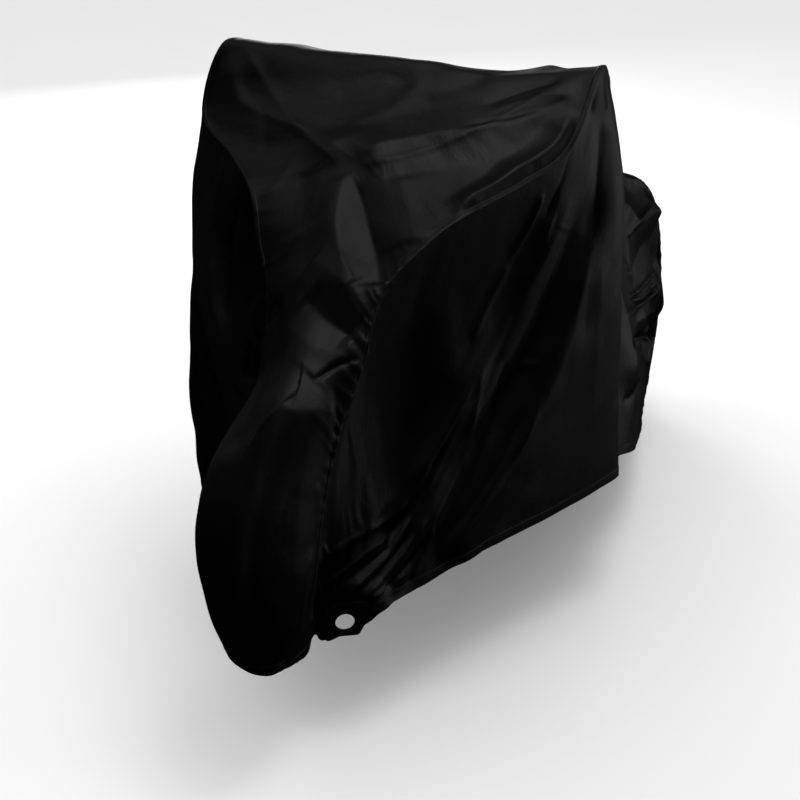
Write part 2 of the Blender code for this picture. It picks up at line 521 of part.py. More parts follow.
def main():
    for thing in list(bpy.data.objects):
        bpy.data.objects.remove(thing)
    cover = bpy.data.collections.new("bicycle cover")
    cutters = bpy.data.collections.new("cutters")
    bpy.context.scene.collection.children.link(cover)
    bpy.context.scene.collection.children.link(cutters)
    cloth, plastic = cloth_material(), ring_material()
    add_sheet("top_strip", strip_points(), True, cloth, cover)
    left_points = panel_points(LEFT_DROPS, LEFT_FOLDS, LEFT_FACES, 1)
    right_points = panel_points(RIGHT_DROPS, RIGHT_FOLDS, RIGHT_FACES, -1)
    left = add_sheet("left_panel", left_points, True, cloth, cover)
    right = add_sheet("right_panel", right_points, False, cloth, cover)
    for panel, side in ((left, 1), (right, -1)):
        cut_for_tab(panel, side, cutters)
        name = panel.name.removesuffix("_panel")
        add_tab(name + "_lock_tab", side, cloth, cover)
        add_ring(name + "_eyelet_ring", side, plastic, cover)


main()
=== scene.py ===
# A fitted rain cover of black coated cloth, as it hangs in use: a top strip, two side panels,
# and a lock tab with an eyelet ring in each side's hem. Metres, +Z up, front towards -Y, the
# cover's own left towards +X.
from collections import namedtuple
from math import cos, pi, radians, sin, tan

import bpy
import numpy as np
from mathutils import Matrix, Vector
from mathutils.bvhtree import BVHTree


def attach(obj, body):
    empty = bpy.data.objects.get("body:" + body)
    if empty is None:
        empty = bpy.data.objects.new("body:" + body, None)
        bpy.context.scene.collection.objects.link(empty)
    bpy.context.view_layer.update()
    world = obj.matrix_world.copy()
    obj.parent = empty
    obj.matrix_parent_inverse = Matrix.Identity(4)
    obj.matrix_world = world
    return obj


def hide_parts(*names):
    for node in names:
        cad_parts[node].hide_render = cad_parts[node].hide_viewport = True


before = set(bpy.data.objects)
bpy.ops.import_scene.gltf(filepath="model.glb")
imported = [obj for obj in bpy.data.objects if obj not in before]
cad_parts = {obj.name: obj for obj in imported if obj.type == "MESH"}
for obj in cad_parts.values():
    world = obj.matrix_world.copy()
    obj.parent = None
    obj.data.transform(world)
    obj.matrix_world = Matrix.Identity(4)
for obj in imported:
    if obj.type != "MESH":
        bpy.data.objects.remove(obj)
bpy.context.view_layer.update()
print("frame loaded:", len(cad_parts), "nodes")

# The tables measure from a point on the floor; the frame's origin is this place in them, under
# the middle of the cover's top.
carry = np.array([-0.070, 0.425, 1.059])

# the picture's own viewpoint, measured from the same floor point
view = {
    "place": np.array([1.58517, -2.39926, 1.96456]),
    "azimuth": radians(30.8),
    "elevation": radians(25.8),
    "lens": 84.0,  # mm
    "sensor": 36.0,  # mm
    "pixels": 800,  # picture width and height
}

cover = {
    "stations": 640,  # points along the seams
    "frontStations": 12.0,  # sections up to here get closer stations
    "frontDensity": 1.7,  # times as close as behind
    "densitySteps": 400,  # places at which that closeness is added up
    "topAcross": 135,
    "leftDown": 150,
    "rightDown": 118,
    "runReach": 0.01,  # a curve's heading is read this far ahead and behind
    "seamCalmTop": 0.08,  # share of the strip's half-width, at a seam, that folds leave
    "seamCalmSide": 0.08,  # share of a side's drop, at the seam, that folds leave
    "reliefStart": 0.030,  # creases and swells rise over this much from a seam
    "sideGathers": 0.7,  # share of a gather's height that a side panel keeps
}

# One row for each cross-section of the top strip, front hem to rear hem, in millimetres: x, y
# and z of its right seam, its middle and its left seam, and how far its right and its left half
# stand proud of the straight line between.
stripSections = [
    ("front hem", -45, -240, 215, 72, -345, 245, 105, -292, 230, 16, 12),
    ("nose, low", -95, -220, 303, 80, -362, 335, 117, -220, 331, 30, 24),
    ("nose, high", -133, -180, 409, 78, -360, 440, 122, -200, 427, 38, 28),
    ("nose, top", -125, -125, 510, 65, -315, 555, 120, -170, 513, 38, 26),
    ("knee", -104, -60, 575, 45, -235, 645, 123, -130, 607, 26, 18),
    ("above the knee", -108, -20, 645, 25, -140, 705, 131, -70, 705, 12, 6),
    ("neck", -130, 30, 755, -5, -10, 800, 127, 0, 806, 6, 4),
    ("under the lamp", -168, 60, 810, -30, 80, 865, 160, 70, 862, 2, 0),
    ("lamp", -205, 100, 872, -56, 170, 932, 183, 120, 890, -4, -4),
    ("top front", -310, 190, 905, -65, 290, 985, 235, 270, 922, 4, 6),
    ("before the bar", -432, 272, 945, -70, 370, 1030, 268, 385, 960, 22, 18),
    ("handlebar", -425, 343, 1064, -70, 425, 1061, 263, 502, 1071, 0, -14),
    ("behind the bar", -385, 445, 1025, -60, 530, 1000, 235, 600, 1030, 0, 0),
    ("dip", -270, 620, 950, -50, 680, 925, 160, 750, 945, 0, 0),
    ("saddle nose", -150, 820, 895, -40, 850, 895, 90, 900, 892, 4, 4),
    ("saddle back", -120, 1000, 875, -35, 1030, 892, 50, 1020, 872, 6, 6),
    ("behind the saddle", -115, 1060, 755, -32, 1090, 765, 42, 1045, 770, 4, 4),
    ("rear, upper", -120, 1120, 640, -28, 1150, 662, 48, 1105, 665, 6, 6),
    ("rear slope", -115, 1235, 580, -22, 1265, 592, 52, 1215, 614, 8, 8),
    ("rear corner", -105, 1320, 490, -16, 1365, 505, 50, 1298, 535, 10, 10),
    ("rear back", -100, 1360, 360, -8, 1425, 350, 52, 1345, 370, 10, 10),
    ("rear low", -85, 1370, 200, -8, 1415, 200, 45, 1360, 205, 8, 8),
    ("rear hem", -65, 1355, 78, -15, 1385, 72, 28, 1362, 76, 4, 4),
]

# One row for each section of a side panel: the strip section it starts from, and then in
# millimetres its point on the hem, and how far it stands out from a straight drop a quarter,
# half and three quarters down.
leftDrops = [
    ("front end", 0, 103, -262, 222, 0, 0, 0),
    ("foot", 1, 100, -215, 212, 0, 0, 0),
    ("before the tab", 2, 90, -165, 203, -5, -10, -10),
    ("tab", 3, 81.5, -129.5, 190, -18, -20, -10),
    ("behind the tab", 4, 135, -85, 214, -34, -30, -20),
    ("hollow, front", 5, 154, -58, 236, -50, -40, -30),
    ("hollow", 6, 172, 25, 238, -50, -42, -24),
    ("hollow, deep", 7, 185, 80, 240, -50, -42, -6),
    ("hollow, back", 8, 205, 160, 243, -38, -14, 0),
    ("curtain, front", 9, 235, 275, 244, -22, -6, 4),
    ("curtain", 10, 268, 400, 243, -4, 12, 12),
    ("under the grip", 11, 307, 553, 252, 28, 24, 10),
    ("curtain, back", 12, 283, 620, 238, 10, -5, -5),
    ("tuck", 13, 250, 700, 220, -40, -45, -30),
    ("side, middle", 14, 227, 836, 170, -30, -20, 10),
    ("saddle side", 15, 190, 950, 145, -10, 0, 10),
    ("rear side, front", 16, 165, 1020, 130, 10, 10, 5),
    ("rear side", 17, 130, 1100, 118, 20, 15, 5),
    ("rear side, back", 18, 95, 1190, 100, 15, 10, 5),
    ("rear turn", 19, 72, 1252, 90, 10, 10, 5),
    ("rear edge", 20, 55, 1300, 84, 5, 5, 0),
    ("rear foot", 21, 47, 1322, 81, 0, 0, 0),
    ("rear end", 22, 38, 1338, 79, 0, 0, 0),
]
rightDrops = [
    ("front end", 0, -55, -225, 212, 0, 0, 0),
    ("foot", 1, -65, -185, 205, 0, 0, 0),
    ("before the tab", 2, -60, -150, 198, -5, -10, -5),
    ("tab", 3, -57.5, -128, 189, -20, -20, -10),
    ("behind the tab", 4, -112, -82, 213, -25, -25, -10),
    ("hollow, front", 5, -150, -50, 222, -30, -30, -10),
    ("hollow", 6, -205, -10, 222, -50, -45, -10),
    ("hollow, deep", 7, -250, 25, 230, -60, -40, 0),
    ("hollow, back", 8, -300, 65, 238, -50, -10, 15),
    ("curtain, front", 9, -345, 105, 245, 0, 25, 30),
    ("curtain", 10, -375, 150, 248, 6, 34, 34),
    ("under the grip", 11, -428, 296, 255, 6, 28, 24),
    ("curtain, back", 12, -418, 420, 248, 4, 12, 8),
    ("tuck", 13, -350, 600, 225, -30, -35, -20),
    ("side, middle", 14, -300, 780, 180, -30, -15, 10),
    ("saddle side", 15, -245, 930, 145, -10, 0, 10),
    ("rear side, front", 16, -215, 1020, 130, 5, 10, 5),
    ("rear side", 17, -180, 1110, 118, 15, 15, 5),
    ("rear side, back", 18, -145, 1200, 100, 15, 10, 5),
    ("rear turn", 19, -122, 1262, 90, 10, 10, 5),
    ("rear edge", 20, -102, 1305, 84, 5, 5, 0),
    ("rear foot", 21, -90, 1322, 81, 0, 0, 0),
    ("rear end", 22, -80, 1335, 79, 0, 0, 0),
]

# Folds: each runs through three places on its panel, given as a strip section and a share of the
# way across the strip (-1 to 1) or down the side (0 to 1). Then come its width at the start and
# at the end, out to about half its height, and its height at both, in millimetres out of the
# cloth. A trough has a minus.
topFolds = [
    ("right grip to lamp", 10.80, -0.93, 9.40, -0.62, 8.02, -0.03, 30, 40, 10, 18),
    ("left grip to lamp", 10.80, 0.93, 9.55, 0.56, 8.02, 0.03, 28, 40, 8, 18),
    ("edge of the bright face", 7.95, 0.01, 6.85, 0.06, 5.45, 0.88, 26, 30, 7, 10),
    ("right of the bright face", 7.95, 0.06, 6.80, 0.50, 6.00, 0.90, 22, 28, -11, -14),
    ("beside the bright face", 8.30, 0.38, 7.85, 0.62, 6.95, 0.90, 34, 36, 4, 5),
    ("right of the lamp", 8.25, -0.48, 7.65, -0.43, 6.90, -0.25, 34, 34, -4, -3),
    ("lip of the wedge", 8.10, 0.96, 9.30, 0.93, 10.45, 0.95, 22, 22, 24, 22),
    ("knee, upper", 6.35, -0.15, 6.12, 0.22, 5.90, 0.58, 28, 26, 6, 8),
    ("knee, between", 5.80, -0.10, 5.58, 0.30, 5.28, 0.80, 26, 26, -12, -12),
    ("knee, lower", 4.30, 0.12, 4.14, 0.34, 4.25, 0.84, 52, 40, 18, 14),
    ("nose, right flank", 5.90, -0.80, 4.70, -0.45, 3.20, -0.30, 40, 50, -12, -6),
    ("behind the bar, left", 11.30, 0.80, 12.40, 0.35, 13.60, 0.05, 30, 45, 12, 10),
    ("behind the bar, right", 11.30, -0.85, 12.60, -0.40, 13.80, -0.10, 30, 45, 10, 12),
    ("dip", 11.80, 0.10, 12.60, 0.00, 13.70, 0.45, 45, 40, -12, -10),
    ("knee, upper lip", 4.72, 0.34, 4.98, 0.56, 5.20, 0.86, 26, 24, 4, 6),
]
leftFolds = [
    ("grip to eyelet", 10.80, 0.05, 8.08, 0.60, 5.20, 0.92, 26, 32, 12, 16),
    ("grip to nose", 10.30, 0.05, 7.72, 0.58, 4.60, 0.70, 24, 28, 12, 10),
    ("between them", 9.40, 0.26, 7.60, 0.66, 5.20, 0.82, 22, 24, -10, -10),
    ("behind the ridges", 10.45, 0.14, 8.75, 0.58, 6.70, 0.94, 26, 30, -20, -22),
    ("curtain edge", 10.55, 0.26, 9.20, 0.66, 6.90, 0.95, 42, 56, 16, 28),
    ("curtain, shallow", 10.90, 0.10, 10.42, 0.25, 10.15, 0.55, 20, 40, -8, -6),
    ("foot, upper", 2.60, 0.40, 3.70, 0.56, 5.60, 0.74, 20, 24, 8, 6),
    ("rear face", 19.10, 0.04, 17.60, 0.16, 15.90, 0.22, 30, 34, 16, 14),
    ("under the rear face", 19.60, 0.30, 17.90, 0.28, 16.30, 0.45, 36, 50, -18, -12),
    ("rear, middle", 20.30, 0.36, 18.40, 0.46, 16.40, 0.66, 28, 44, 14, 10),
    ("rear, under the middle", 20.40, 0.60, 19.00, 0.62, 17.40, 0.78, 26, 34, -16, -8),
    ("saddle side", 14.60, 0.08, 14.20, 0.45, 13.80, 0.85, 40, 60, 12, 16),
    ("behind the grip", 12.10, 0.10, 12.80, 0.45, 13.30, 0.88, 30, 50, -16, -14),
]
rightFolds = [
    ("grip to eyelet", 10.75, 0.06, 8.60, 0.50, 4.90, 0.88, 22, 36, 14, 18),
    ("grip to nose", 10.40, 0.08, 8.00, 0.50, 4.20, 0.55, 20, 30, 10, 12),
    ("hollow", 9.50, 0.20, 7.60, 0.46, 5.80, 0.55, 34, 40, -12, -14),
    ("curtain, front", 10.90, 0.14, 10.10, 0.52, 9.10, 0.92, 30, 50, -12, -14),
    ("curtain, back", 11.60, 0.12, 11.90, 0.50, 12.30, 0.92, 30, 55, 12, 14),
    ("behind the grip", 12.40, 0.12, 12.90, 0.50, 13.30, 0.90, 34, 55, -14, -16),
    ("saddle side", 14.70, 0.08, 14.40, 0.45, 13.90, 0.88, 40, 60, 12, 16),
    ("saddle to hem", 15.80, 0.10, 15.60, 0.45, 15.20, 0.85, 36, 50, -12, -14),
    ("rear face", 18.80, 0.08, 17.30, 0.22, 15.90, 0.34, 34, 44, 14, 16),
    ("rear, middle", 20.20, 0.40, 18.40, 0.50, 16.40, 0.60, 34, 44, -12, -14),
    ("rear, lower", 20.40, 0.60, 18.40, 0.72, 16.80, 0.78, 34, 44, 12, 12),
]

# Creases placed on the picture: three pixels on the crease, its half-width and how far it stands
# out, both in millimetres. A trough has a minus.
topCreases = [
    ("crest of the grip ridge", 240, 42, 290, 118, 342, 165, 9, 3.5),
    ("shade left of the ridge", 236, 72, 262, 112, 266, 160, 16, -3),
    ("streak to the right seam", 292, 160, 276, 185, 256, 200, 8, 1.5),
    ("dark face, right edge", 324, 165, 308, 215, 280, 262, 10, 2),
    ("bright face, left edge", 345, 172, 336, 236, 369, 320, 5, 2),
    ("bright face, right edge", 350, 172, 366, 215, 383, 284, 4, -1.5),
    ("wedge crest", 356, 165, 440, 145, 590, 72, 6, 3.5),
    ("shade streak, upper", 565, 78, 525, 89, 478, 106, 6, -4),
    ("light streak", 572, 90, 530, 99, 486, 112, 5, 2.5),
    ("shade streak, lower", 572, 96, 540, 108, 455, 128, 5, -4),
    ("top shade, middle", 500, 72, 440, 90, 380, 80, 22, -4),
    ("top swell", 430, 72, 390, 110, 340, 130, 26, 4),
    ("nose, groove", 312, 381, 338, 366, 364, 357, 3, -5),
    ("right edge of the nose, fold", 268, 285, 266, 330, 262, 372, 10, 4),
    ("nose, low swell", 300, 470, 275, 540, 262, 610, 26, -3),
    ("nose, foot fold", 312, 545, 304, 590, 300, 640, 10, 4),
    ("nose, foot groove", 318, 560, 314, 600, 312, 640, 6, -3),
    ("left lower bright edge", 318, 480, 317, 510, 316, 540, 6, 3),
]
leftCreases = [
    ("thin ridge", 478, 372, 447, 430, 410, 500, 5, 5),
    ("thin ridge, foot", 412, 497, 378, 524, 320, 556, 6, 6),
    ("broad ridge", 486, 358, 460, 462, 400, 580, 9, 7),
    ("between the ridges", 462, 412, 440, 455, 414, 505, 5, -4),
    ("faint ridge", 458, 425, 432, 480, 396, 545, 4, 3),
    ("shade right of the ridge", 510, 350, 490, 430, 452, 525, 16, -7),
    ("curtain edge", 545, 390, 505, 478, 422, 583, 8, 6),
    ("shade before the curtain", 530, 400, 488, 485, 430, 560, 14, -6),
    ("ring pull 1", 392, 532, 356, 560, 314, 590, 4, 8),
    ("ring pull 1, shade", 398, 541, 362, 569, 324, 598, 4, -6),
    ("ring pull 2", 414, 515, 382, 560, 342, 600, 5, 9),
    ("ring pull 2, shade", 420, 522, 392, 558, 352, 600, 3.5, -7),
    ("ring pull 3", 428, 512, 400, 556, 360, 604, 4, 9),
    ("ring pull 4", 436, 520, 418, 556, 392, 588, 4.5, 8),
    ("ring pull 4, shade", 434, 520, 410, 560, 374, 604, 3.5, -7),
    ("below the last pull", 415, 572, 404, 590, 386, 602, 6, -5),
    ("seam corner", 322, 544, 328, 554, 344, 546, 4, 4),
    ("beside the ring, lit", 311, 616, 312, 628, 313, 640, 5, 4),
    ("beside the ring, shade", 318, 600, 320, 620, 320, 640, 4, -4),
    ("under the grip, black gully", 578, 130, 562, 180, 545, 225, 7, -10),
    ("under the grip, streak", 544, 190, 530, 222, 508, 262, 5, 6),
    ("streak, lower", 512, 258, 490, 300, 470, 345, 8, 5),
    ("curtain lip under the grip", 570, 150, 556, 200, 540, 255, 8, 6),
    ("curtain, upright groove", 602, 118, 598, 180, 592, 250, 7, -3.5),
    ("curtain, cross crease", 552, 223, 568, 230, 586, 235, 2.5, 1.2),
    ("curtain, cross groove", 550, 228, 568, 234, 586, 239, 2.5, -1.2),
    ("curtain, faint cross", 506, 364, 522, 364, 542, 366, 5, 2.5),
    ("curtain, long swell", 602, 250, 596, 350, 590, 440, 22, 4),
    ("curtain, long dip", 575, 280, 570, 360, 560, 440, 20, -3),
    ("rear face, upper edge", 622, 178, 640, 184, 656, 196, 6, -4),
    ("rear face, lower edge", 652, 205, 640, 220, 624, 238, 5, 6),
    ("rear, small fold", 622, 262, 630, 272, 626, 286, 6, 4),
    ("rear, fold 1", 626, 300, 640, 288, 656, 268, 5, 5),
    ("rear, fold 2", 624, 318, 642, 302, 660, 290, 6, 6),
    ("rear, fold 2, shade", 628, 300, 644, 298, 658, 280, 5, -5),
    ("rear, face under fold 2", 630, 330, 644, 316, 656, 310, 9, 4),
    ("rear, black groove", 632, 345, 640, 338, 658, 336, 6, -9),
    ("rear, lower face", 640, 352, 646, 362, 650, 346, 7, 5),
    ("rear, lowest groove", 622, 402, 632, 396, 642, 380, 7, -5),
    ("grip corner, dark pleat", 598, 80, 596, 97, 592, 114, 4, -7),
    ("grip corner, bright edge", 604, 76, 606, 95, 607, 114, 3, 4),
    ("round the ring", 392, 584, 380, 594, 366, 598, 4, 5),
]
rightCreases = [
    ("pocket by the nose, rim", 262, 292, 250, 330, 240, 378, 5, 5),
    ("pocket by the nose", 258, 330, 252, 355, 250, 385, 8, -8),
    ("pocket by the nose, foot", 236, 378, 244, 392, 256, 400, 5, 4),
    ("far side, swell", 226, 150, 214, 220, 208, 300, 16, 5),
    ("far side, dip", 240, 190, 228, 260, 222, 330, 14, -6),
    ("far side, foot", 232, 440, 216, 480, 206, 520, 10, 5),
    ("far side, foot shade", 240, 450, 226, 500, 214, 545, 10, -4),
]


def unit(v):
    # the same vectors at length 1
    return v / np.maximum(np.linalg.norm(v, axis=-1, keepdims=True), 1e-9)


def easeIn(x):
    # 0 up to 1 with no corner
    x = np.clip(x, 0.0, 1.0)
    return x * x * (3 - 2 * x)


def curveThrough(knots, values, at):
    # cubic curve through values at the knots, its slopes the mean of those on each side
    slopes = np.gradient(values, knots, axis=0)
    i = np.clip(np.searchsorted(knots, at, side="right") - 1, 0, len(knots) - 2)
    span = (knots[i + 1] - knots[i])[:, None]
    u = (at - knots[i])[:, None] / span
    start = (1 + 2 * u) * (1 - u) ** 2 * values[i] + u * (1 - u) ** 2 * span * slopes[i]
    end = u * u * (3 - 2 * u) * values[i + 1] + u * u * (u - 1) * span * slopes[i + 1]
    return start + end


def lengthAlong(line):
    # how far along a line of points each of them lies
    return np.concatenate([[0.0], np.cumsum(np.linalg.norm(np.diff(line, axis=0), axis=1))])


sectionTable = np.array([row[1:] for row in stripSections]) / 1000
sectionPoints = sectionTable[:, :9].reshape(-1, 3, 3)
# how far along the strip each section lies: the mean of its three points' steps
sectionSteps = np.linalg.norm(np.diff(sectionPoints, axis=0), axis=2).mean(axis=1)
knots = np.concatenate([[0.0], np.cumsum(sectionSteps)])


def alongOf(sections):
    # metres along the strip, for places given in sections
    return np.interp(sections, np.arange(len(knots)), knots)


def runOf(at, values, along):
    # a curve's heading: its place a little ahead less its place a little behind
    ahead = np.minimum(along + cover["runReach"], at[-1])
    behind = np.maximum(along - cover["runReach"], 0.0)
    return curveThrough(at, values, ahead) - curveThrough(at, values, behind)


def throughRibs(shares, ribs, at):
    # a cubic curve across ribs at the given shares of the way, read at the places in at
    ribs = np.stack(ribs)
    flat = curveThrough(np.array(shares), ribs.reshape(len(ribs), -1), at)
    return flat.reshape(len(at), -1, 3).transpose(1, 0, 2)


def topSurface(along, across):
    # along in metres; across from -1 at the right seam to 1 at the left one. Five ribs run along
    # the strip, and a cubic curve joins them across.
    rows = curveThrough(knots, sectionTable, along)
    right, middle, left = rows[:, 0:3], rows[:, 3:6], rows[:, 6:9]
    run = unit(runOf(knots, sectionTable[:, 3:6], along))
    halfRight = (right + middle) / 2 + unit(np.cross(run, right - middle)) * rows[:, 9:10]
    halfLeft = (left + middle) / 2 + unit(np.cross(left - middle, run)) * rows[:, 10:11]
    return throughRibs((-1.0, -0.5, 0.0, 0.5, 1.0), (right, halfRight, middle, halfLeft, left), across)


def sideSurface(drops, side):
    # a panel from its seam, down 0, to its hem, down 1, on five ribs in the same way. They stand
    # out level, and square to the way that the seam and the hem run.
    seamTable = sectionTable[:, 6:9] if side > 0 else sectionTable[:, 0:3]
    at = alongOf([row[1] for row in drops])
    dropTable = np.array([row[2:] for row in drops]) / 1000

    def surface(along, down):
        # the rib at a share of the way down is seam + (hem - seam) x share + out x its height
        seam = curveThrough(knots, seamTable, along)
        rows = curveThrough(at, dropTable, along)
        hem = rows[:, 0:3]
        run = runOf(knots, seamTable, along) + runOf(at, dropTable[:, 0:3], along)
        out = unit(np.stack([run[:, 1], -run[:, 0], 0 * run[:, 0]], axis=1)) * side
        ribs = (
            seam,
            seam + (hem - seam) * 0.25 + out * rows[:, 3:4],
            (seam + hem) / 2 + out * rows[:, 4:5],
            seam + (hem - seam) * 0.75 + out * rows[:, 5:6],
            hem,
        )
        return throughRibs((0.0, 0.25, 0.5, 0.75, 1.0), ribs, down)

    return surface


def gridNormals(points, side):
    # square to both ways of a grid of points; side 1 or -1 turns them outwards
    return unit(np.cross(np.gradient(points, axis=0), np.gradient(points, axis=1))) * side


def raised(points, side, lift):
    # the points moved along their normals by lift
    return points + gridNormals(points, side) * lift[:, :, None]


def distanceToPath(points, path):
    # each point's distance to the path, and how far along the path that is, 0 to 1
    best = np.full(len(points), 1e9)
    place = np.zeros(len(points))
    for k, (a, b) in enumerate(zip(path[:-1], path[1:])):
        step = b - a
        share = np.clip((points - a) @ step / max(step @ step, 1e-12), 0.0, 1.0)
        gap = np.linalg.norm(points - a - share[:, None] * step, axis=1)
        nearer = gap < best
        best = np.where(nearer, gap, best)
        place = np.where(nearer, (k + share) / (len(path) - 1), place)
    return best, place


def nearPath(flat, path, reach):
    # the points inside the path's box, widened by reach
    low, high = path.min(axis=0) - reach, path.max(axis=0) + reach
    return np.nonzero(((flat > low) & (flat < high)).all(axis=1))[0]


def pathThrough(places, steps):
    # a cubic curve through three places, which come as one row of six numbers
    places = np.array(places, float).reshape(3, 2)
    return curveThrough(np.array([0.0, 0.5, 1.0]), places, np.linspace(0, 1, steps + 1))


def rounded(gap, crest):
    # a distance that grows from 0 with no corner: sqrt(gap^2 + crest^2) - crest
    return np.sqrt(gap ** 2 + crest ** 2) - crest


foldLook = {
    "steps": 24,  # straight pieces in its path
    "fade": 0.14,  # share of its length over which each end dies away
    "crest": 0.004,  # radius of its rounded crest
    "reach": 2,  # widths from its path to where it ends
    "power": 1.4,
}


def foldLift(points, folds, surface):
    # a fold stands out by its height x (1 - gap / 2 widths) ^ 1.4
    flat = points.reshape(-1, 3)
    lift = np.zeros(len(flat))
    look = foldLook
    for fold in folds:
        places = pathThrough(fold[1:7], look["steps"])
        path = np.array([surface(np.array([a]), np.array([b]))[0, 0]
                         for a, b in zip(alongOf(places[:, 0]), places[:, 1])])
        wideStart, wideEnd, highStart, highEnd = (size / 1000 for size in fold[7:])
        near = nearPath(flat, path, look["reach"] * max(wideStart, wideEnd))
        gap, place = distanceToPath(flat[near], path)
        wide = wideStart + (wideEnd - wideStart) * place
        high = highStart + (highEnd - highStart) * place
        high = high * easeIn(place / look["fade"]) * easeIn((1 - place) / look["fade"])
        gap = rounded(gap, look["crest"])
        lift[near] += high * np.clip(1 - gap / (wide * look["reach"]), 0, 1) ** look["power"]
    return lift.reshape(points.shape[:2])


azimuth, elevation = view["azimuth"], view["elevation"]
viewRight = np.array([cos(azimuth), sin(azimuth), 0.0])
viewBack = np.array([sin(azimuth) * cos(elevation), -cos(azimuth) * cos(elevation), sin(elevation)])
viewUp = np.cross(viewBack, viewRight)


def pixelRay(x, y):
    # the way that the camera looks through a pixel
    half = view["pixels"] / 2
    scale = view["sensor"] / view["lens"] / view["pixels"]
    return unit(-viewBack + viewRight * (x - half) * scale + viewUp * (half - y) * scale)


def gridFaces(rows, columns, flip, closeColumns=False, closeRows=False):
    # quads between the points of a grid, which may close on itself either way
    index = np.arange(rows * columns).reshape(rows, columns)
    if closeRows:
        index = np.concatenate([index, index[:1]])
    if closeColumns:
        index = np.concatenate([index, index[:, :1]], axis=1)
    faces = np.stack([index[:-1, :-1], index[1:, :-1], index[1:, 1:], index[:-1, 1:]], axis=-1).reshape(-1, 4)
    return faces[:, ::-1] if flip else faces


creaseLook = {
    "steps": 12,  # straight pieces in its path
    "fade": 0.2,  # share of its length over which each end dies away
    "crest": 0.35,  # radius of its rounded crest, in widths
    "reach": 5,  # widths from its path to where it is left off
    "beside": 0.004,  # a ray that misses takes the foremost point within this of the nearest
}


def pixelPoint(x, y, tree, flat):
    # where a pixel's ray meets the cloth, or else passes it
    ray = pixelRay(x, y)
    hit = tree.ray_cast(Vector(view["place"]), Vector(ray))[0]
    if hit is not None:
        return np.array(hit)
    away = flat - view["place"]
    off = np.linalg.norm(away - (away @ ray)[:, None] * ray, axis=1)
    close = np.nonzero(off < off.min() + creaseLook["beside"])[0]
    return flat[close[(away[close] @ ray).argmin()]]


def creaseLift(points, creases):
    # each crease's pixels are carried along the camera's rays onto the cloth, and the cloth
    # stands out along that path by its height x exp(-gap / width)
    flat = points.reshape(-1, 3)
    tree = BVHTree.FromPolygons(flat.tolist(), gridFaces(*points.shape[:2], False).tolist())
    lift = np.zeros(len(flat))
    look = creaseLook
    for crease in creases:
        pixels = pathThrough(crease[1:7], look["steps"])
        path = np.array([pixelPoint(x, y, tree, flat) for x, y in pixels])
        wide, high = (size / 1000 for size in crease[7:])
        near = nearPath(flat, path, wide * look["reach"])
        gap, place = distanceToPath(flat[near], path)
        ends = easeIn(place / look["fade"]) * easeIn((1 - place) / look["fade"])
        lift[near] += high * ends * np.exp(-rounded(gap, wide * look["crest"]) / wide)
    return lift.reshape(points.shape[:2])


def valueNoise(u, v, seed):
    # smooth noise from -1 to 1, one lump to a unit of u and v
    table = np.random.default_rng(seed).uniform(-1, 1, (257, 257))
    i, j = np.floor(u).astype(int), np.floor(v).astype(int)
    s, t = easeIn(u - i), easeIn(v - j)
    i, j = i % 256, j % 256
    low = table[i, j] * (1 - s) + table[i + 1, j] * s
    high = table[i, j + 1] * (1 - s) + table[i + 1, j + 1] * s
    return low * (1 - t) + high * t


tabs = {
    "facing": radians(40),  # turned this far from straight ahead, to each side
    "flat": 0.050,  # the cloth is flat this far from the eyelet
    "reach": 0.095,  # and takes its own shape from here
    "calm": 0.040,  # creases stop this far from the eyelet
    "fade": 0.012,  # and grow to their whole height over this much
    "depth": 0.080,  # cloth further off the tab's plane is left alone
    "left": np.array([0.1086, -0.1069, 0.223]),
    "right": np.array([-0.085, -0.105, 0.222]),
}


def tabAxes(side):
    # a tab's place, and its directions: ahead along the hem, up, and out of the cloth
    place = tabs["left"] if side > 0 else tabs["right"]
    out = np.array([side * sin(tabs["facing"]), -cos(tabs["facing"]), 0.0])
    return place, np.cross([0.0, 0.0, 1.0], out), np.array([0.0, 0.0, 1.0]), out


def flattenAtTab(points, side):
    # draws the cloth round a lock tab into the tab's plane, by the distance from the eyelet
    place, _, _, out = tabAxes(side)
    away = points - place
    off = away @ out
    reach = np.linalg.norm(away - off[..., None] * out, axis=-1)
    pull = easeIn((tabs["reach"] - reach) / (tabs["reach"] - tabs["flat"]))
    pull *= easeIn((tabs["depth"] - np.abs(off)) / tabs["depth"] * 2)
    return points - (pull * off)[..., None] * out, reach


# gathers along a seam: from one section to another, how far apart, how high and how long they
# are, and how far they lean along the seam
noseLeftGathers = [
    ("front foot", 0.3, 2.2, 0.034, 0.0012, 0.018, 0.3),
    ("nose", 2.3, 3.4, 0.030, 0.0030, 0.020, 0.5),
    ("knee", 3.4, 5.0, 0.023, 0.0042, 0.026, 0.7),
    ("under the bright face", 5.0, 6.1, 0.021, 0.0036, 0.024, 0.9),
    ("lamp to grip", 6.2, 10.6, 0.036, 0.0012, 0.016, 0.2),
    ("grip to saddle", 11.2, 15.0, 0.030, 0.0014, 0.018, 0.0),
    ("rear", 15.0, 21.6, 0.027, 0.0020, 0.022, -0.3),
]
plainGathers = [
    ("front", 0.3, 3.0, 0.033, 0.0014, 0.018, 0.2),
    ("knee", 3.0, 6.2, 0.026, 0.0024, 0.022, 0.4),
    ("lamp to grip", 6.2, 10.6, 0.036, 0.0012, 0.016, 0.0),
    ("grip to saddle", 11.2, 15.0, 0.030, 0.0014, 0.018, 0.0),
    ("rear", 15.0, 21.6, 0.027, 0.0020, 0.022, -0.3),
]
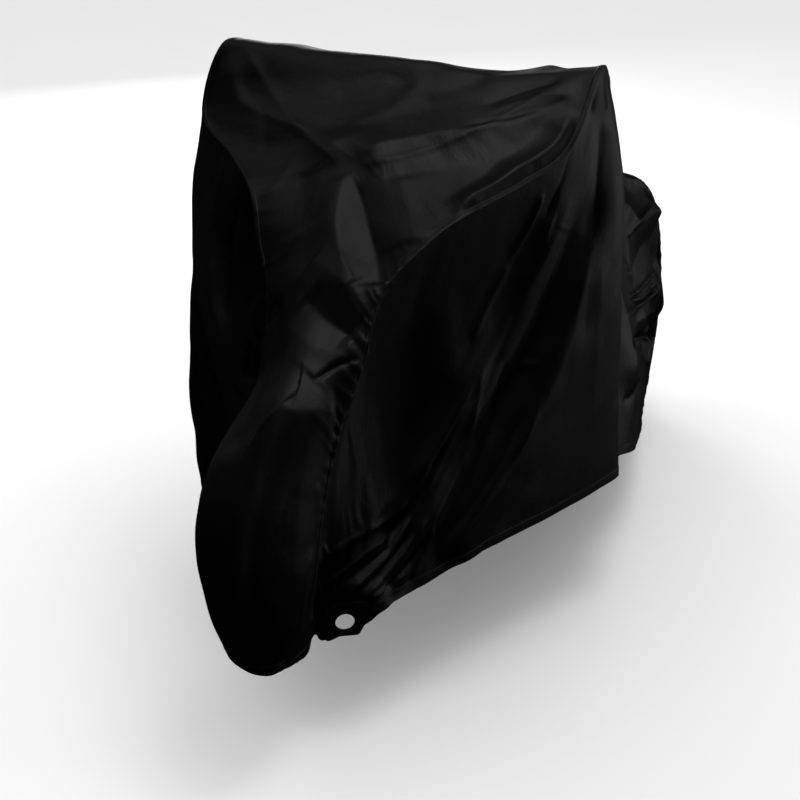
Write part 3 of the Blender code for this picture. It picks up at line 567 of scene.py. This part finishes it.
gatherLook = {
    "spacing": (0.6, 1.5),  # least and most of what the row says, as in the next two
    "high": (0.45, 1.25),
    "reach": (0.7, 1.4),
    "wide": (0.20, 0.30),  # of the spacing
    "lean": (-0.25, 0.25),  # beside the row's
    "start": 0.006,  # it rises over this much from the seam
    "stop": 0.09,  # and is left off this far along it
}


def gatherLift(along, away, gathers, seed):
    # a gather is a low ridge that starts at the seam and dies away from it: height x
    # exp(-(off / width)^2) x exp(-away / reach), off measured along the seam
    lift = np.zeros(away.shape)
    rng = np.random.default_rng(seed)
    look = gatherLook
    for _, first, last, spacing, height, length, slant in gathers:
        at, end = alongOf([first, last])
        while at < end:
            at += spacing * rng.uniform(*look["spacing"])
            high = height * rng.uniform(*look["high"])
            reach = length * rng.uniform(*look["reach"])
            wide = spacing * rng.uniform(*look["wide"])
            lean = slant + rng.uniform(*look["lean"])
            rows = np.nonzero(np.abs(along - at) < look["stop"])[0]
            near = away[rows]
            off = along[rows, None] - at - lean * near
            ridge = high * np.exp(-(off / wide) ** 2) * np.exp(-near / reach)
            lift[rows] += ridge * easeIn(near / look["start"])
    return lift


# height, size along the strip and down from the seam, and where the noise is read from
relief = {
    "long swells": (0.0016, 0.060, 0.300, 40, 7),
    "short swells": (0.0007, 0.028, 0.060, 9, 3),
    "uneven cloth": (0.0009, 0.045, 0.040, 5, 11),
}


def unevenLift(along, away, seed):
    # the sum, over the kinds of relief, of height x smooth noise
    u, v = along[:, None] + 0 * away, away
    lift = 0 * away
    for k, (high, sizeAlong, sizeDown, startAlong, startDown) in enumerate(relief.values()):
        lift = lift + high * valueNoise(u / sizeAlong + startAlong, v / sizeDown + startDown, seed + k)
    return lift


def stationPlaces():
    # closer together at the front, which has the finer folds
    sections = np.linspace(0, len(knots) - 1, cover["densitySteps"])
    dense = np.where(sections < cover["frontStations"], cover["frontDensity"], 1.0)
    steps = np.diff(alongOf(sections)) * (dense[1:] + dense[:-1]) / 2
    grown = np.concatenate([[0.0], np.cumsum(steps)])
    places = np.interp(np.linspace(0, grown[-1], cover["stations"]), grown, alongOf(sections))
    places[-1] = knots[-1]
    return places


def awayFromSeam(points):
    # how far along its own row each point of a grid lies
    return np.concatenate([
        np.zeros((len(points), 1)),
        np.cumsum(np.linalg.norm(np.diff(points, axis=1), axis=2), axis=1),
    ], axis=1)


seeds = {"top": 11, "topToLeft": 21, "topToRight": 22,
         "left": 31, "leftGathers": 36, "right": 41, "rightGathers": 46}

along = stationPlaces()
across = np.linspace(-1, 1, cover["topAcross"])
topBase = topSurface(along, across)
lift = foldLift(topBase, topFolds, topSurface) * easeIn((1 - np.abs(across)) / cover["seamCalmTop"])
topBase = raised(topBase, -1, lift)
toLeft = awayFromSeam(topBase[:, ::-1])[:, ::-1]
toRight = awayFromSeam(topBase)
lift = creaseLift(topBase, topCreases) + unevenLift(along, toRight, seeds["top"])
lift = lift * easeIn(np.minimum(toLeft, toRight) / cover["reliefStart"])
leftRidges = gatherLift(along, toLeft, noseLeftGathers, seeds["topToLeft"])
lift += leftRidges + gatherLift(along, toRight, plainGathers, seeds["topToRight"])
topPoints = raised(topBase, -1, lift)
print("top strip shaped")


def sidePoints(name, side, rows, drops, folds, creases, gathers):
    # folds first, then the flat place round the lock tab, and then creases, swells and gathers,
    # which stop before the eyelet. The panel starts on the strip's own edge.
    surface = sideSurface(drops, side)
    down = np.linspace(0, 1, rows)
    base = surface(along, down)
    lift = foldLift(base, folds, surface) * easeIn(down / cover["seamCalmSide"])
    base, toTab = flattenAtTab(raised(base, -side, lift), side)
    away = awayFromSeam(base)
    lift = creaseLift(base, creases) + unevenLift(along, away, seeds[name])
    lift = lift * easeIn(away / cover["reliefStart"])
    lift += gatherLift(along, away, gathers, seeds[name + "Gathers"]) * cover["sideGathers"]
    lift = lift * easeIn((toTab - tabs["calm"]) / tabs["fade"])
    points = raised(base, -side, lift)
    points[:, 0] = topPoints[:, -1 if side > 0 else 0]
    print(name, "panel shaped")
    return points


leftPoints = sidePoints("left", 1, cover["leftDown"], leftDrops, leftFolds, leftCreases, noseLeftGathers)
rightPoints = sidePoints("right", -1, cover["rightDown"], rightDrops, rightFolds, rightCreases, plainGathers)


class Wire:
    # an output of a shader node; sums and products of wires add Math nodes
    def __init__(self, finish, socket):
        self.finish, self.socket = finish, socket

    def math(self, operation, *others):
        return self.finish.node("ShaderNodeMath", {"operation": operation}, dict(enumerate([self, *others])))

    def __add__(self, other):
        return self.math("ADD", other)

    def __mul__(self, other):
        return self.math("MULTIPLY", other)

    __radd__ = __add__


class Finish:
    # a material; its nodes are added one at a time, and a value or a wire goes into each socket
    def __init__(self, name):
        self.material = bpy.data.materials.new(name)
        self.material.use_nodes = True
        self.tree = self.material.node_tree
        self.shader = self.tree.nodes["Principled BSDF"]

    def node(self, kind, settings={}, sockets={}, out=0):
        node = self.tree.nodes.new(kind)
        for name, value in settings.items():
            setattr(node, name, value)
        for name, value in sockets.items():
            self.set(node.inputs[name], value)
        return Wire(self, node.outputs[out])

    def set(self, socket, value):
        if isinstance(value, Wire):
            self.tree.links.new(value.socket, socket)
        else:
            socket.default_value = value

    def put(self, **sockets):
        for name, value in sockets.items():
            self.set(self.shader.inputs[name.replace("_", " ")], value)

    def objectPlace(self):
        return self.node("ShaderNodeTexCoord", out="Object")

    def noise(self, place, scale, detail=2.0, rough=0.5):
        sockets = {"Vector": place, "Scale": scale, "Detail": detail, "Roughness": rough}
        return self.node("ShaderNodeTexNoise", {}, sockets)

    def bump(self, height, depth, under=None):
        # depth in metres, on top of another bump where there is one
        sockets = {"Height": height, "Distance": depth, "Strength": 1.0}
        if under:
            sockets["Normal"] = under
        return self.node("ShaderNodeBump", {}, sockets)

    def blend(self, share, dark, light):
        # sockets 6 and 7 and output 2 are the node's colours
        return self.node("ShaderNodeMix", {"data_type": "RGBA"}, {0: share, 6: dark, 7: light}, out=2)


clothLook = {
    "dark": (0.0001, 0.0001, 0.0001, 1.0),
    "light": (0.0003, 0.0003, 0.0003, 1.0),
    "mottle": (9.0, 4.0, 0.6),  # scale, detail and roughness of the noise
    "roughLow": 0.45,
    "roughHigh": 0.55,
    "specular": 0.30,
    "thread": 0.00045,  # pitch of the weave
    "weaveDepth": 0.00003,
    "crinkle": (1 / 0.012, 3.0, 0.55),  # 12 mm lumps
    "crinkleDepth": 0.0006,
}


def clothFinish():
    # a weave of sine threads both ways under a fine crinkle, and a mottled coat
    finish = Finish("black coated cloth")
    look = clothLook
    place = finish.node("ShaderNodeUVMap", {"uv_map": "clothMap"})
    mottle = finish.noise(place, *look["mottle"])
    crinkle = finish.noise(place, *look["crinkle"])
    parts = finish.node("ShaderNodeSeparateXYZ", {}, {"Vector": place}).socket.node.outputs
    warp, weft = ((Wire(finish, parts[k]) * (2 * pi / look["thread"])).math("SINE") for k in (0, 1))
    weave = finish.bump(warp * weft, look["weaveDepth"])
    finish.put(
        Base_Color=finish.blend(mottle, look["dark"], look["light"]),
        Roughness=look["roughLow"] + mottle * (look["roughHigh"] - look["roughLow"]),
        Specular_IOR_Level=look["specular"],
        Normal=finish.bump(crinkle, look["crinkleDepth"], weave),
    )
    return finish.material


threadLook = {
    "dark": (0.0018, 0.0018, 0.002, 1.0),
    "light": (0.004, 0.004, 0.0042, 1.0),
    "cloud": (1800.0, 2.0),  # scale and detail of the noise
    "rough": (0.45, 0.2),  # the least, and how much more in the lighter places
    "specular": 0.35,
    "grain": (1800.0, 2.0),
    "depth": 0.0001,
}
plasticLook = {
    "dark": (0.0012, 0.0012, 0.0012, 1.0),
    "light": (0.0022, 0.0022, 0.0022, 1.0),
    "cloud": (60.0, 3.0),
    "rough": (0.26, 0.16),
    "specular": 0.35,
    "grain": (2600.0, 3.0),
    "depth": 0.00004,
}


def grainedFinish(name, look):
    # noise for lighter, duller places, and a fine grain in the height
    finish = Finish(name)
    place = finish.objectPlace()
    cloud = finish.noise(place, *look["cloud"])
    finish.put(
        Base_Color=finish.blend(cloud, look["dark"], look["light"]),
        Roughness=look["rough"][0] + cloud * look["rough"][1],
        Specular_IOR_Level=look["specular"],
        Normal=finish.bump(finish.noise(place, *look["grain"]), look["depth"]),
    )
    return finish.material


cloth = clothFinish()
thread = grainedFinish("black thread", threadLook)
plastic = grainedFinish("black moulded plastic", plasticLook)


def makePiece(name, points, faces, material, uv=None):
    # a smooth mesh in the frame's own place
    mesh = bpy.data.meshes.new(name)
    mesh.from_pydata((points - carry).tolist(), [], faces.tolist())
    if uv is not None:
        corners = np.empty(len(mesh.loops), dtype=np.int32)
        mesh.loops.foreach_get("vertex_index", corners)
        mesh.uv_layers.new(name="clothMap").data.foreach_set("uv", uv[corners].astype(np.float32).ravel())
    mesh.shade_smooth()
    mesh.materials.append(material)
    piece = bpy.data.objects.new(name, mesh)
    bpy.context.scene.collection.objects.link(piece)
    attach(piece, "root")
    return piece


# the corners of a lock tab, seen from outside with the rear to the right, from the ring's middle
Corner = namedtuple("Corner", "name along up radius")
tabCorners = [
    Corner("front, low", -0.036, -0.040, 0.008),
    Corner("under the ring", -0.010, -0.028, 0.015),
    Corner("rear, low", 0.024, -0.028, 0.007),
    Corner("rear side", 0.043, 0.010, 0.015),
    Corner("rear, high", 0.041, 0.037, 0.012),
    Corner("front, high", -0.040, 0.037, 0.012),
]
tabLook = {
    "steps": 240,  # round the ring
    "columns": 22,  # from the hole to the edge
    "arcSteps": 8,  # straight pieces in a rounded corner
    "edgeSteps": 6,  # places read on each piece of the outline
    "hole": 0.0188,
    "proud": 0.0012,
    "back": 0.0018,
    "edgeHigh": 0.55,  # share of proud at the edge
    "edgeRise": 0.45,  # and what the rest adds
    "edgeSoft": 0.004,  # over this much
    "edgeOut": 0.0003,
    "stitchIn": 0.0045,  # from the tab's edge
    "stitchDepth": 0.0005,  # of the groove that the stitches pull
    "stitchWide": 0.0012,
    "uneven": 0.0003,
    "unevenSize": 0.012,
    "unevenTurns": 2.1,  # lumps to a radian
    "seed": 77,
    "underPanel": 0.004,  # how far the panel, and the hem, reach under the tab
    "underHem": 0.003,
    "besideStitch": 0.001,  # hem stitches keep this far off
    "slab": 0.02,  # cloth further off the tab's plane isn't under it
}


def tabOutline(side):
    # the corners joined by straight lines, each rounded by an arc
    corners = np.array([[row.along * side, row.up] for row in tabCorners])[::side]
    radii = [row.radius for row in tabCorners][::side]
    points = []
    for before, here, after, radius in zip(np.roll(corners, 1, 0), corners, np.roll(corners, -1, 0), radii):
        back, ahead = unit(before - here), unit(after - here)
        half = np.arccos(np.clip(back @ ahead, -1, 1)) / 2
        bend = np.sign(back[1] * ahead[0] - back[0] * ahead[1])
        centre = here + unit(back + ahead) * radius / sin(half)
        arm = unit(here + back * radius / tan(half) - centre) * radius
        for k in range(tabLook["arcSteps"] + 1):
            turn = bend * (pi - 2 * half) * k / tabLook["arcSteps"]
            x, y = arm[0] * cos(turn) - arm[1] * sin(turn), arm[0] * sin(turn) + arm[1] * cos(turn)
            points.append(centre + [x, y])
    return np.array(points)


def tabRadius(side, turns):
    # how far the tab's edge is from the ring's middle, in each direction
    outline, steps = tabOutline(side), tabLook["edgeSteps"]
    toNext = np.roll(outline, -1, 0) - outline
    outline = np.concatenate([outline + toNext * (k / steps) for k in range(steps)])
    angle = np.arctan2(outline[:, 1], outline[:, 0]) % (2 * pi)
    order = angle.argsort()
    return np.interp(turns % (2 * pi), angle[order], np.linalg.norm(outline, axis=1)[order], period=2 * pi)


def outsideTab(points, side, shrink):
    # which points a side's tab doesn't cover, with its outline drawn in by shrink
    place, ahead, up, out = tabAxes(side)
    away = points - place
    x, y, off = away @ ahead, away @ up, away @ out
    inside = np.hypot(x, y) < tabRadius(side, np.arctan2(y, x)) - shrink
    return ~(inside & (np.abs(off) < tabLook["slab"]))


def clothPiece(name, points, flip, away, side=0):
    # a sheet on a grid, mapped by metres along its seam and away from it. Side 1 or -1 leaves
    # out what that side's tab covers.
    faces, flat = gridFaces(*points.shape[:2], flip), points.reshape(-1, 3)
    uv = np.stack([along[:, None] + 0 * away, away], axis=-1).reshape(-1, 2)
    if side:
        faces = faces[outsideTab(flat, side, tabLook["underPanel"])[faces].any(axis=1)]
        used = np.unique(faces)
        number = np.full(len(flat), -1)
        number[used] = np.arange(len(used))
        faces, flat, uv = number[faces], flat[used], uv[used]
    return makePiece(name, flat, faces, cloth, uv)


topSheet = clothPiece("topStripCloth", topPoints, True, toRight)
leftSheet = clothPiece("leftPanelCloth", leftPoints, True, awayFromSeam(leftPoints), 1)
rightSheet = clothPiece("rightPanelCloth", rightPoints, False, awayFromSeam(rightPoints), -1)
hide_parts("top_strip")
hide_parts("left_panel")
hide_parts("right_panel")
print("sheets made")


hemLook = {
    "wide": 0.020,
    "thick": 0.0008,
    "stitch": 0.0165,  # from the edge
    "stitchOver": 0.0001,  # stitches stand this much over the hem
    "seamWide": 0.009,
    "seamThick": 0.0009,
    "seamStitch": 0.0065,
}


def readFrom(points, normals, away):
    # points and normals at given distances in from a sheet's edge; axis 0 runs along the edge
    far = awayFromSeam(points)
    found, facing = [], []
    rows = np.arange(len(points))
    for distance in away:
        j = np.clip((far > distance).argmax(axis=1), 1, points.shape[1] - 1)
        share = ((distance - far[rows, j - 1]) / (far[rows, j] - far[rows, j - 1]))[:, None]
        found.append(points[rows, j - 1] * (1 - share) + points[rows, j] * share)
        facing.append(unit(normals[rows, j - 1] * (1 - share) + normals[rows, j] * share))
    return np.stack(found, axis=1), np.stack(facing, axis=1)


def bandPiece(name, edge, profile, flip, closed, side=0):
    # carries a profile of distances in from the edge and heights off the cloth along that edge.
    # Side 1 or -1 leaves out what that side's tab covers.
    profile = np.array(profile)
    line, facing = readFrom(*edge, profile[:, 0])
    line = line + facing * profile[:, 1][None, :, None]
    run = lengthAlong(line[:, 0])[:, None]
    uv = np.stack([run + 0 * line[..., 0], 0 * run + profile[:, 0]], axis=-1).reshape(-1, 2)
    faces, flat = gridFaces(*line.shape[:2], flip, closed), line.reshape(-1, 3)
    if side:
        faces = faces[outsideTab(flat, side, tabLook["underHem"])[faces].any(axis=1)]
    return makePiece(name, flat, faces, cloth, uv)


stitchLook = {
    "length": 0.0031,
    "pitch": 0.0040,
    "wide": 0.0009,
    "high": 0.0006,
    "ends": 0.003,  # left free at both ends of a row
    "reach": 0.002,  # a row's heading is read this far ahead and behind
}


def readLine(at, run, line):
    # places on a line of points, by how far along it they are
    return np.stack([np.interp(at, run, line[:, k]) for k in range(3)], axis=1)


def stitchRow(edge, away, height, side=0):
    # the middle, run and facing of each stitch along an edge
    line, facing = readFrom(*edge, [away])
    line, facing = line[:, 0] + facing[:, 0] * height, facing[:, 0]
    run, reach = lengthAlong(line), stitchLook["reach"]
    at = np.arange(stitchLook["ends"], run[-1] - stitchLook["ends"], stitchLook["pitch"])
    ahead = readLine(at + reach, run, line) - readLine(at - reach, run, line)
    row = readLine(at, run, line), unit(ahead), unit(readLine(at, run, facing))
    if side:
        keep = outsideTab(row[0], side, -tabLook["besideStitch"])
        row = [part[keep] for part in row]
    return row


def stitchPiece(name, rows):
    # each stitch is a short spindle: two tips and three rings of six points
    middle, run, facing = (np.concatenate(parts) for parts in zip(*rows))
    across = np.cross(facing, run)
    turn = np.arange(6) * pi / 3
    rings = [(-0.34, 0.75), (0.0, 1.0), (0.34, 0.75)]
    local = [(-0.5, 0.0, 0.0)]
    local += [(x, s * cos(t), s * sin(t)) for x, s in rings for t in turn] + [(0.5, 0.0, 0.0)]
    local = np.array(local) * [stitchLook["length"], stitchLook["wide"] / 2, stitchLook["high"] / 2]
    points = middle[:, None] + run[:, None] * local[:, 0:1] + across[:, None] * local[:, 1:2]
    points = points + facing[:, None] * local[:, 2:3]
    near, mid, far, tip = 1, 7, 13, 19  # where the rings and the second tip start
    faces = []
    for k in range(6):
        m = (k + 1) % 6
        faces += [[0, near + m, near + k, near + k], [tip, far + k, far + m, far + m]]
        faces += [[near + k, near + m, mid + m, mid + k], [mid + k, mid + m, far + m, far + k]]
    starts = np.arange(len(middle))[:, None, None] * len(local)
    faces = (np.array(faces)[None] + starts).reshape(-1, 4)
    solid = [row[:3] if row[2] == row[3] else row for row in faces.tolist()]
    return makePiece(name, points.reshape(-1, 3), np.array(solid, dtype=object), thread)


# each edge's points and normals, read inwards from it
top, left, right = ((points, gridNormals(points, side)) for points, side in (
    (topPoints, -1), (leftPoints, -1), (rightPoints, 1)))
edges = {
    "leftSeam": [grid[:, ::-1] for grid in top],
    "rightSeam": top,
    "front": [grid.transpose(1, 0, 2) for grid in top],
    "rear": [grid[::-1].transpose(1, 0, 2) for grid in top],
    "left": [grid[:, ::-1] for grid in left],
    "right": [grid[:, ::-1] for grid in right],
}

# the hem's profile goes over the face to the edge and back on the inside; the seam's band lies
# on the face alone
wide, thick = hemLook["wide"], hemLook["thick"]
hemProfile = [
    (wide + 0.0006, -0.0002), (wide, thick * 0.8), (wide - 0.002, thick), (wide / 2, thick * 1.1),
    (0.003, thick), (0.0008, thick * 0.9), (0.0, thick * 0.2), (0.0, -thick * 0.4), (0.0008, -thick),
    (0.003, -thick * 1.1), (wide / 2, -thick), (wide - 0.002, -thick), (wide, -thick * 0.8),
]
wide, thick = hemLook["seamWide"], hemLook["seamThick"]
seamProfile = [
    (0.0, 0.0), (0.0003, thick * 0.7), (0.0014, thick), (0.005, thick * 0.9), (wide - 0.0010, thick),
    (wide - 0.0002, thick * 0.6), (wide + 0.0004, -0.0002),
]
# flip turns a band's faces outwards
hems = {name: bandPiece(name + "Hem", edges[name], hemProfile, flip, True, side) for name, flip, side in (
    ("left", True, 1), ("right", False, -1), ("front", True, 0), ("rear", False, 0))}
seams = [bandPiece(name, edges[name], seamProfile, flip, False) for name, flip in (
    ("leftSeam", False), ("rightSeam", True))]
seamRow = hemLook["seamStitch"], hemLook["seamThick"]
hemRow = hemLook["stitch"], hemLook["thick"] + hemLook["stitchOver"]
topStitching = stitchPiece("topStitching", [
    stitchRow(edges[name], *row) for name, row in (
        ("rightSeam", seamRow), ("leftSeam", seamRow), ("front", hemRow), ("rear", hemRow))])
leftStitching = stitchPiece("leftStitching", [stitchRow(edges["left"], *hemRow, 1)])
rightStitching = stitchPiece("rightStitching", [stitchRow(edges["right"], *hemRow, -1)])
print("hems, seams and stitches made")


def roundTab(side, turns, radius, height, sink=0.0):
    # ring's middle + radius x (cos x ahead + sin x up) + height x out, and sunk into the cloth
    place, ahead, up, out = tabAxes(side)
    c, s = (radius * np.cos(turns))[..., None], (radius * np.sin(turns))[..., None]
    return place - out * sink + c * ahead + s * up + np.asarray(height)[..., None] * out


def tabPiece(name, side):
    # polar sheet from the ring's hole to the tab's edge: out over the face, round the edge and
    # back along the inside, which closes it
    look = tabLook
    turns = np.linspace(0, 2 * pi, look["steps"], endpoint=False)
    edge = tabRadius(side, turns)
    hole, proud, back = look["hole"], look["proud"], look["back"]
    radius = hole + (edge - hole)[:, None] * np.linspace(0, 1, look["columns"])
    inward = edge[:, None] - radius
    pillow = proud * (look["edgeHigh"] + look["edgeRise"] * easeIn(inward / look["edgeSoft"]))
    pillow = pillow - look["stitchDepth"] * np.exp(-((inward - look["stitchIn"]) / look["stitchWide"]) ** 2)
    lumps = turns[:, None] * look["unevenTurns"] + 4, radius / look["unevenSize"] + 2
    pillow += look["uneven"] * valueNoise(*lumps, look["seed"])
    face = np.stack([radius, pillow], axis=-1)
    wall = [np.stack([edge + look["edgeOut"], edge * 0 + h], axis=-1) for h in (proud * 0.25, -back * 0.5)]
    rear = np.stack([radius[:, ::-3], 0 * radius[:, ::-3] - back], axis=-1)
    ladder = np.concatenate([face, np.stack(wall, axis=1), rear], axis=1)
    r, h, turns = ladder[..., 0], ladder[..., 1], turns[:, None]
    points = roundTab(side, turns, r, h).reshape(-1, 3)
    uv = np.stack([r * np.cos(turns), r * np.sin(turns) + h], axis=-1).reshape(-1, 2) + 0.5
    return makePiece(name, points, gridFaces(*r.shape, True, True, True), cloth, uv)


tabStitch = {
    "points": 2000,  # places read round the tab's edge
    "pitch": 0.0034,
    "end": 0.003,
    "sink": 0.0001,
    "reach": 0.0015,
}


def tabStitches(name, side):
    # a row of stitches round the tab, in from its edge
    turns = np.linspace(0, 2 * pi, tabStitch["points"])
    radius = tabRadius(side, turns) - tabLook["stitchIn"]
    line = roundTab(side, turns, radius, tabLook["proud"] - tabStitch["sink"])
    run, reach = lengthAlong(line), tabStitch["reach"]
    at = np.arange(0, run[-1] - tabStitch["end"], tabStitch["pitch"])
    ahead = readLine(at + reach, run, line) - readLine(at - reach, run, line)
    facing = np.tile(tabAxes(side)[3], (len(at), 1))
    return stitchPiece(name, [(readLine(at, run, line), unit(ahead), facing)])


ringLook = {
    "hole": 0.0170,
    "outer": 0.0250,
    "thick": 0.0078,
    "groove": 0.0014,
    "barrel": 0.0192,
    "round": 0.0011,  # radius of the flanges' edges
    "arcPoints": 6,
    "crown": 0.0004,  # the flanges swell by this
    "lip": 0.0003,
    "sink": 0.001,  # the ring's middle lies this far inside the cloth
    "steps": 128,
}


def ringPiece(name, side):
    # a turned reel: half of its profile, then the same mirrored inside the cloth
    look = ringLook
    hole, outer, top, soft = look["hole"], look["outer"], look["thick"] / 2, look["round"]
    arc = [(sin(t), cos(t)) for t in np.linspace(0, pi / 2, look["arcPoints"])]
    outerArc = [(outer - soft + soft * x, top - soft + soft * y) for x, y in arc]
    innerArc = [(hole + soft - soft * x, top - soft + soft * y) for x, y in arc]
    crown = [(hole + soft + (outer - hole - 2 * soft) * s, top + look["crown"] * sin(pi * s))
             for s in (0.3, 0.5, 0.7)]
    groove = [(outer - look["lip"], look["groove"]), (look["barrel"], look["groove"])]
    half = innerArc[::-1] + crown + outerArc + groove
    profile = np.array(half + [(r, -z) for r, z in half[::-1]])[None]
    turns = np.linspace(0, 2 * pi, look["steps"], endpoint=False)[:, None]
    points = roundTab(side, turns, profile[..., 0], profile[..., 1], look["sink"])
    faces = gridFaces(*points.shape[:2], True, True, True)
    return makePiece(name, points.reshape(-1, 3), faces, plastic)


for name, side in (("left", 1), ("right", -1)):
    tab = tabPiece(name + "LockTabCloth", side)
    rowOfStitches = tabStitches(name + "TabStitching", side)
    ring = ringPiece(name + "EyeletReel", side)
    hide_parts(name + "_lock_tab")
    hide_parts(name + "_eyelet_ring")
print("tabs and rings made")

stage = {
    "floorHalf": 40.0,  # half the floor's width
    "floorDark": (0.80, 0.80, 0.80, 1.0),
    "floorLight": (0.82, 0.82, 0.82, 1.0),
    "floorNoise": 3.0,
    "floorRough": 0.9,
    "world": 0.95,
}


def stageFloor():
    # a pale square that no gloss mirrors
    finish = Finish("pale floor")
    mottle = finish.noise(finish.objectPlace(), stage["floorNoise"])
    finish.put(
        Base_Color=finish.blend(mottle, stage["floorDark"], stage["floorLight"]),
        Roughness=stage["floorRough"],
        Specular_IOR_Level=0.0,
    )
    size, low = stage["floorHalf"], -carry[2]
    mesh = bpy.data.meshes.new("floor")
    corners = [(-size, -size, low), (size, -size, low), (size, size, low), (-size, size, low)]
    mesh.from_pydata(corners, [], [(0, 1, 2, 3)])
    mesh.materials.append(finish.material)
    floor = bpy.data.objects.new("floor", mesh)
    bpy.context.scene.collection.objects.link(floor)
    floor.visible_glossy = False


# soft lights: where they stand and look, their width and height in metres, and their power
Lamp = namedtuple("Lamp", "name x y z toX toY toZ wide tall power")
lamps = [
    Lamp("overhead", 0.00, -0.12, 3.05, 0.0, 0.0, -0.35, 1.7, 1.7, 5),
    Lamp("overhead, behind", 0.00, 1.16, 2.84, 0.0, 0.0, -0.35, 1.7, 1.7, 5),
    Lamp("overhead, left", 0.87, 0.15, 2.93, 0.0, 0.0, -0.35, 1.7, 1.7, 25),
    Lamp("high, left front", 1.01, -0.58, 2.84, 0.0, 0.0, -0.35, 1.7, 1.7, 10),
    Lamp("high, right", -2.40, 0.00, 2.05, 0.0, 0.0, -0.35, 1.7, 1.7, 4.5),
    Lamp("by the floor, left", 0.90, 0.20, -0.98, 0.3, 0.0, -0.50, 0.8, 0.18, 0.13),
    Lamp("low, left rear", 1.85, 2.70, -0.93, 0.0, 0.0, -0.35, 1.7, 0.22, 2.5),
    Lamp("left rear", 2.40, 2.40, -0.35, 0.0, 0.0, -0.35, 1.7, 1.4, 10),
    Lamp("right front", -3.09, -0.83, 0.00, 0.0, 0.0, -0.35, 1.7, 1.4, 0.8),
    Lamp("front", 0.00, -3.40, -0.20, 0.0, 0.0, -0.35, 1.6, 1.4, 2.5),
    Lamp("right rear", -2.40, 2.40, 0.40, 0.0, 0.2, -0.35, 1.7, 1.7, 38),
]


def light(lamp):
    # an oval lamp that the camera doesn't see
    data = bpy.data.lights.new(lamp.name, "AREA")
    data.shape, data.size, data.size_y, data.energy = "ELLIPSE", lamp.wide, lamp.tall, lamp.power
    thing = bpy.data.objects.new(lamp.name, data)
    place = Vector((lamp.x, lamp.y, lamp.z))
    thing.location = place
    look = Vector((lamp.toX, lamp.toY, lamp.toZ)) - place
    thing.rotation_euler = look.to_track_quat("-Z", "Y").to_euler()
    thing.visible_camera = False
    bpy.context.scene.collection.objects.link(thing)


stageFloor()
for lamp in lamps:
    light(lamp)
world = bpy.data.worlds.new("studio")
world.use_nodes = True
world.node_tree.nodes["Background"].inputs["Color"].default_value = (1.0, 1.0, 1.0, 1.0)
world.node_tree.nodes["Background"].inputs["Strength"].default_value = stage["world"]
world.cycles_visibility.glossy = False
bpy.context.scene.world = world
bpy.context.scene.view_settings.view_transform = "Standard"

camera = bpy.data.objects.new("camera", bpy.data.cameras.new("camera"))
camera.data.lens, camera.data.sensor_width = view["lens"], view["sensor"]
camera.matrix_world = Matrix((viewRight, viewUp, viewBack)).transposed().to_4x4()
camera.location = view["place"] - carry
bpy.context.scene.collection.objects.link(camera)
bpy.context.scene.camera = camera
print("stage, lights and camera set")
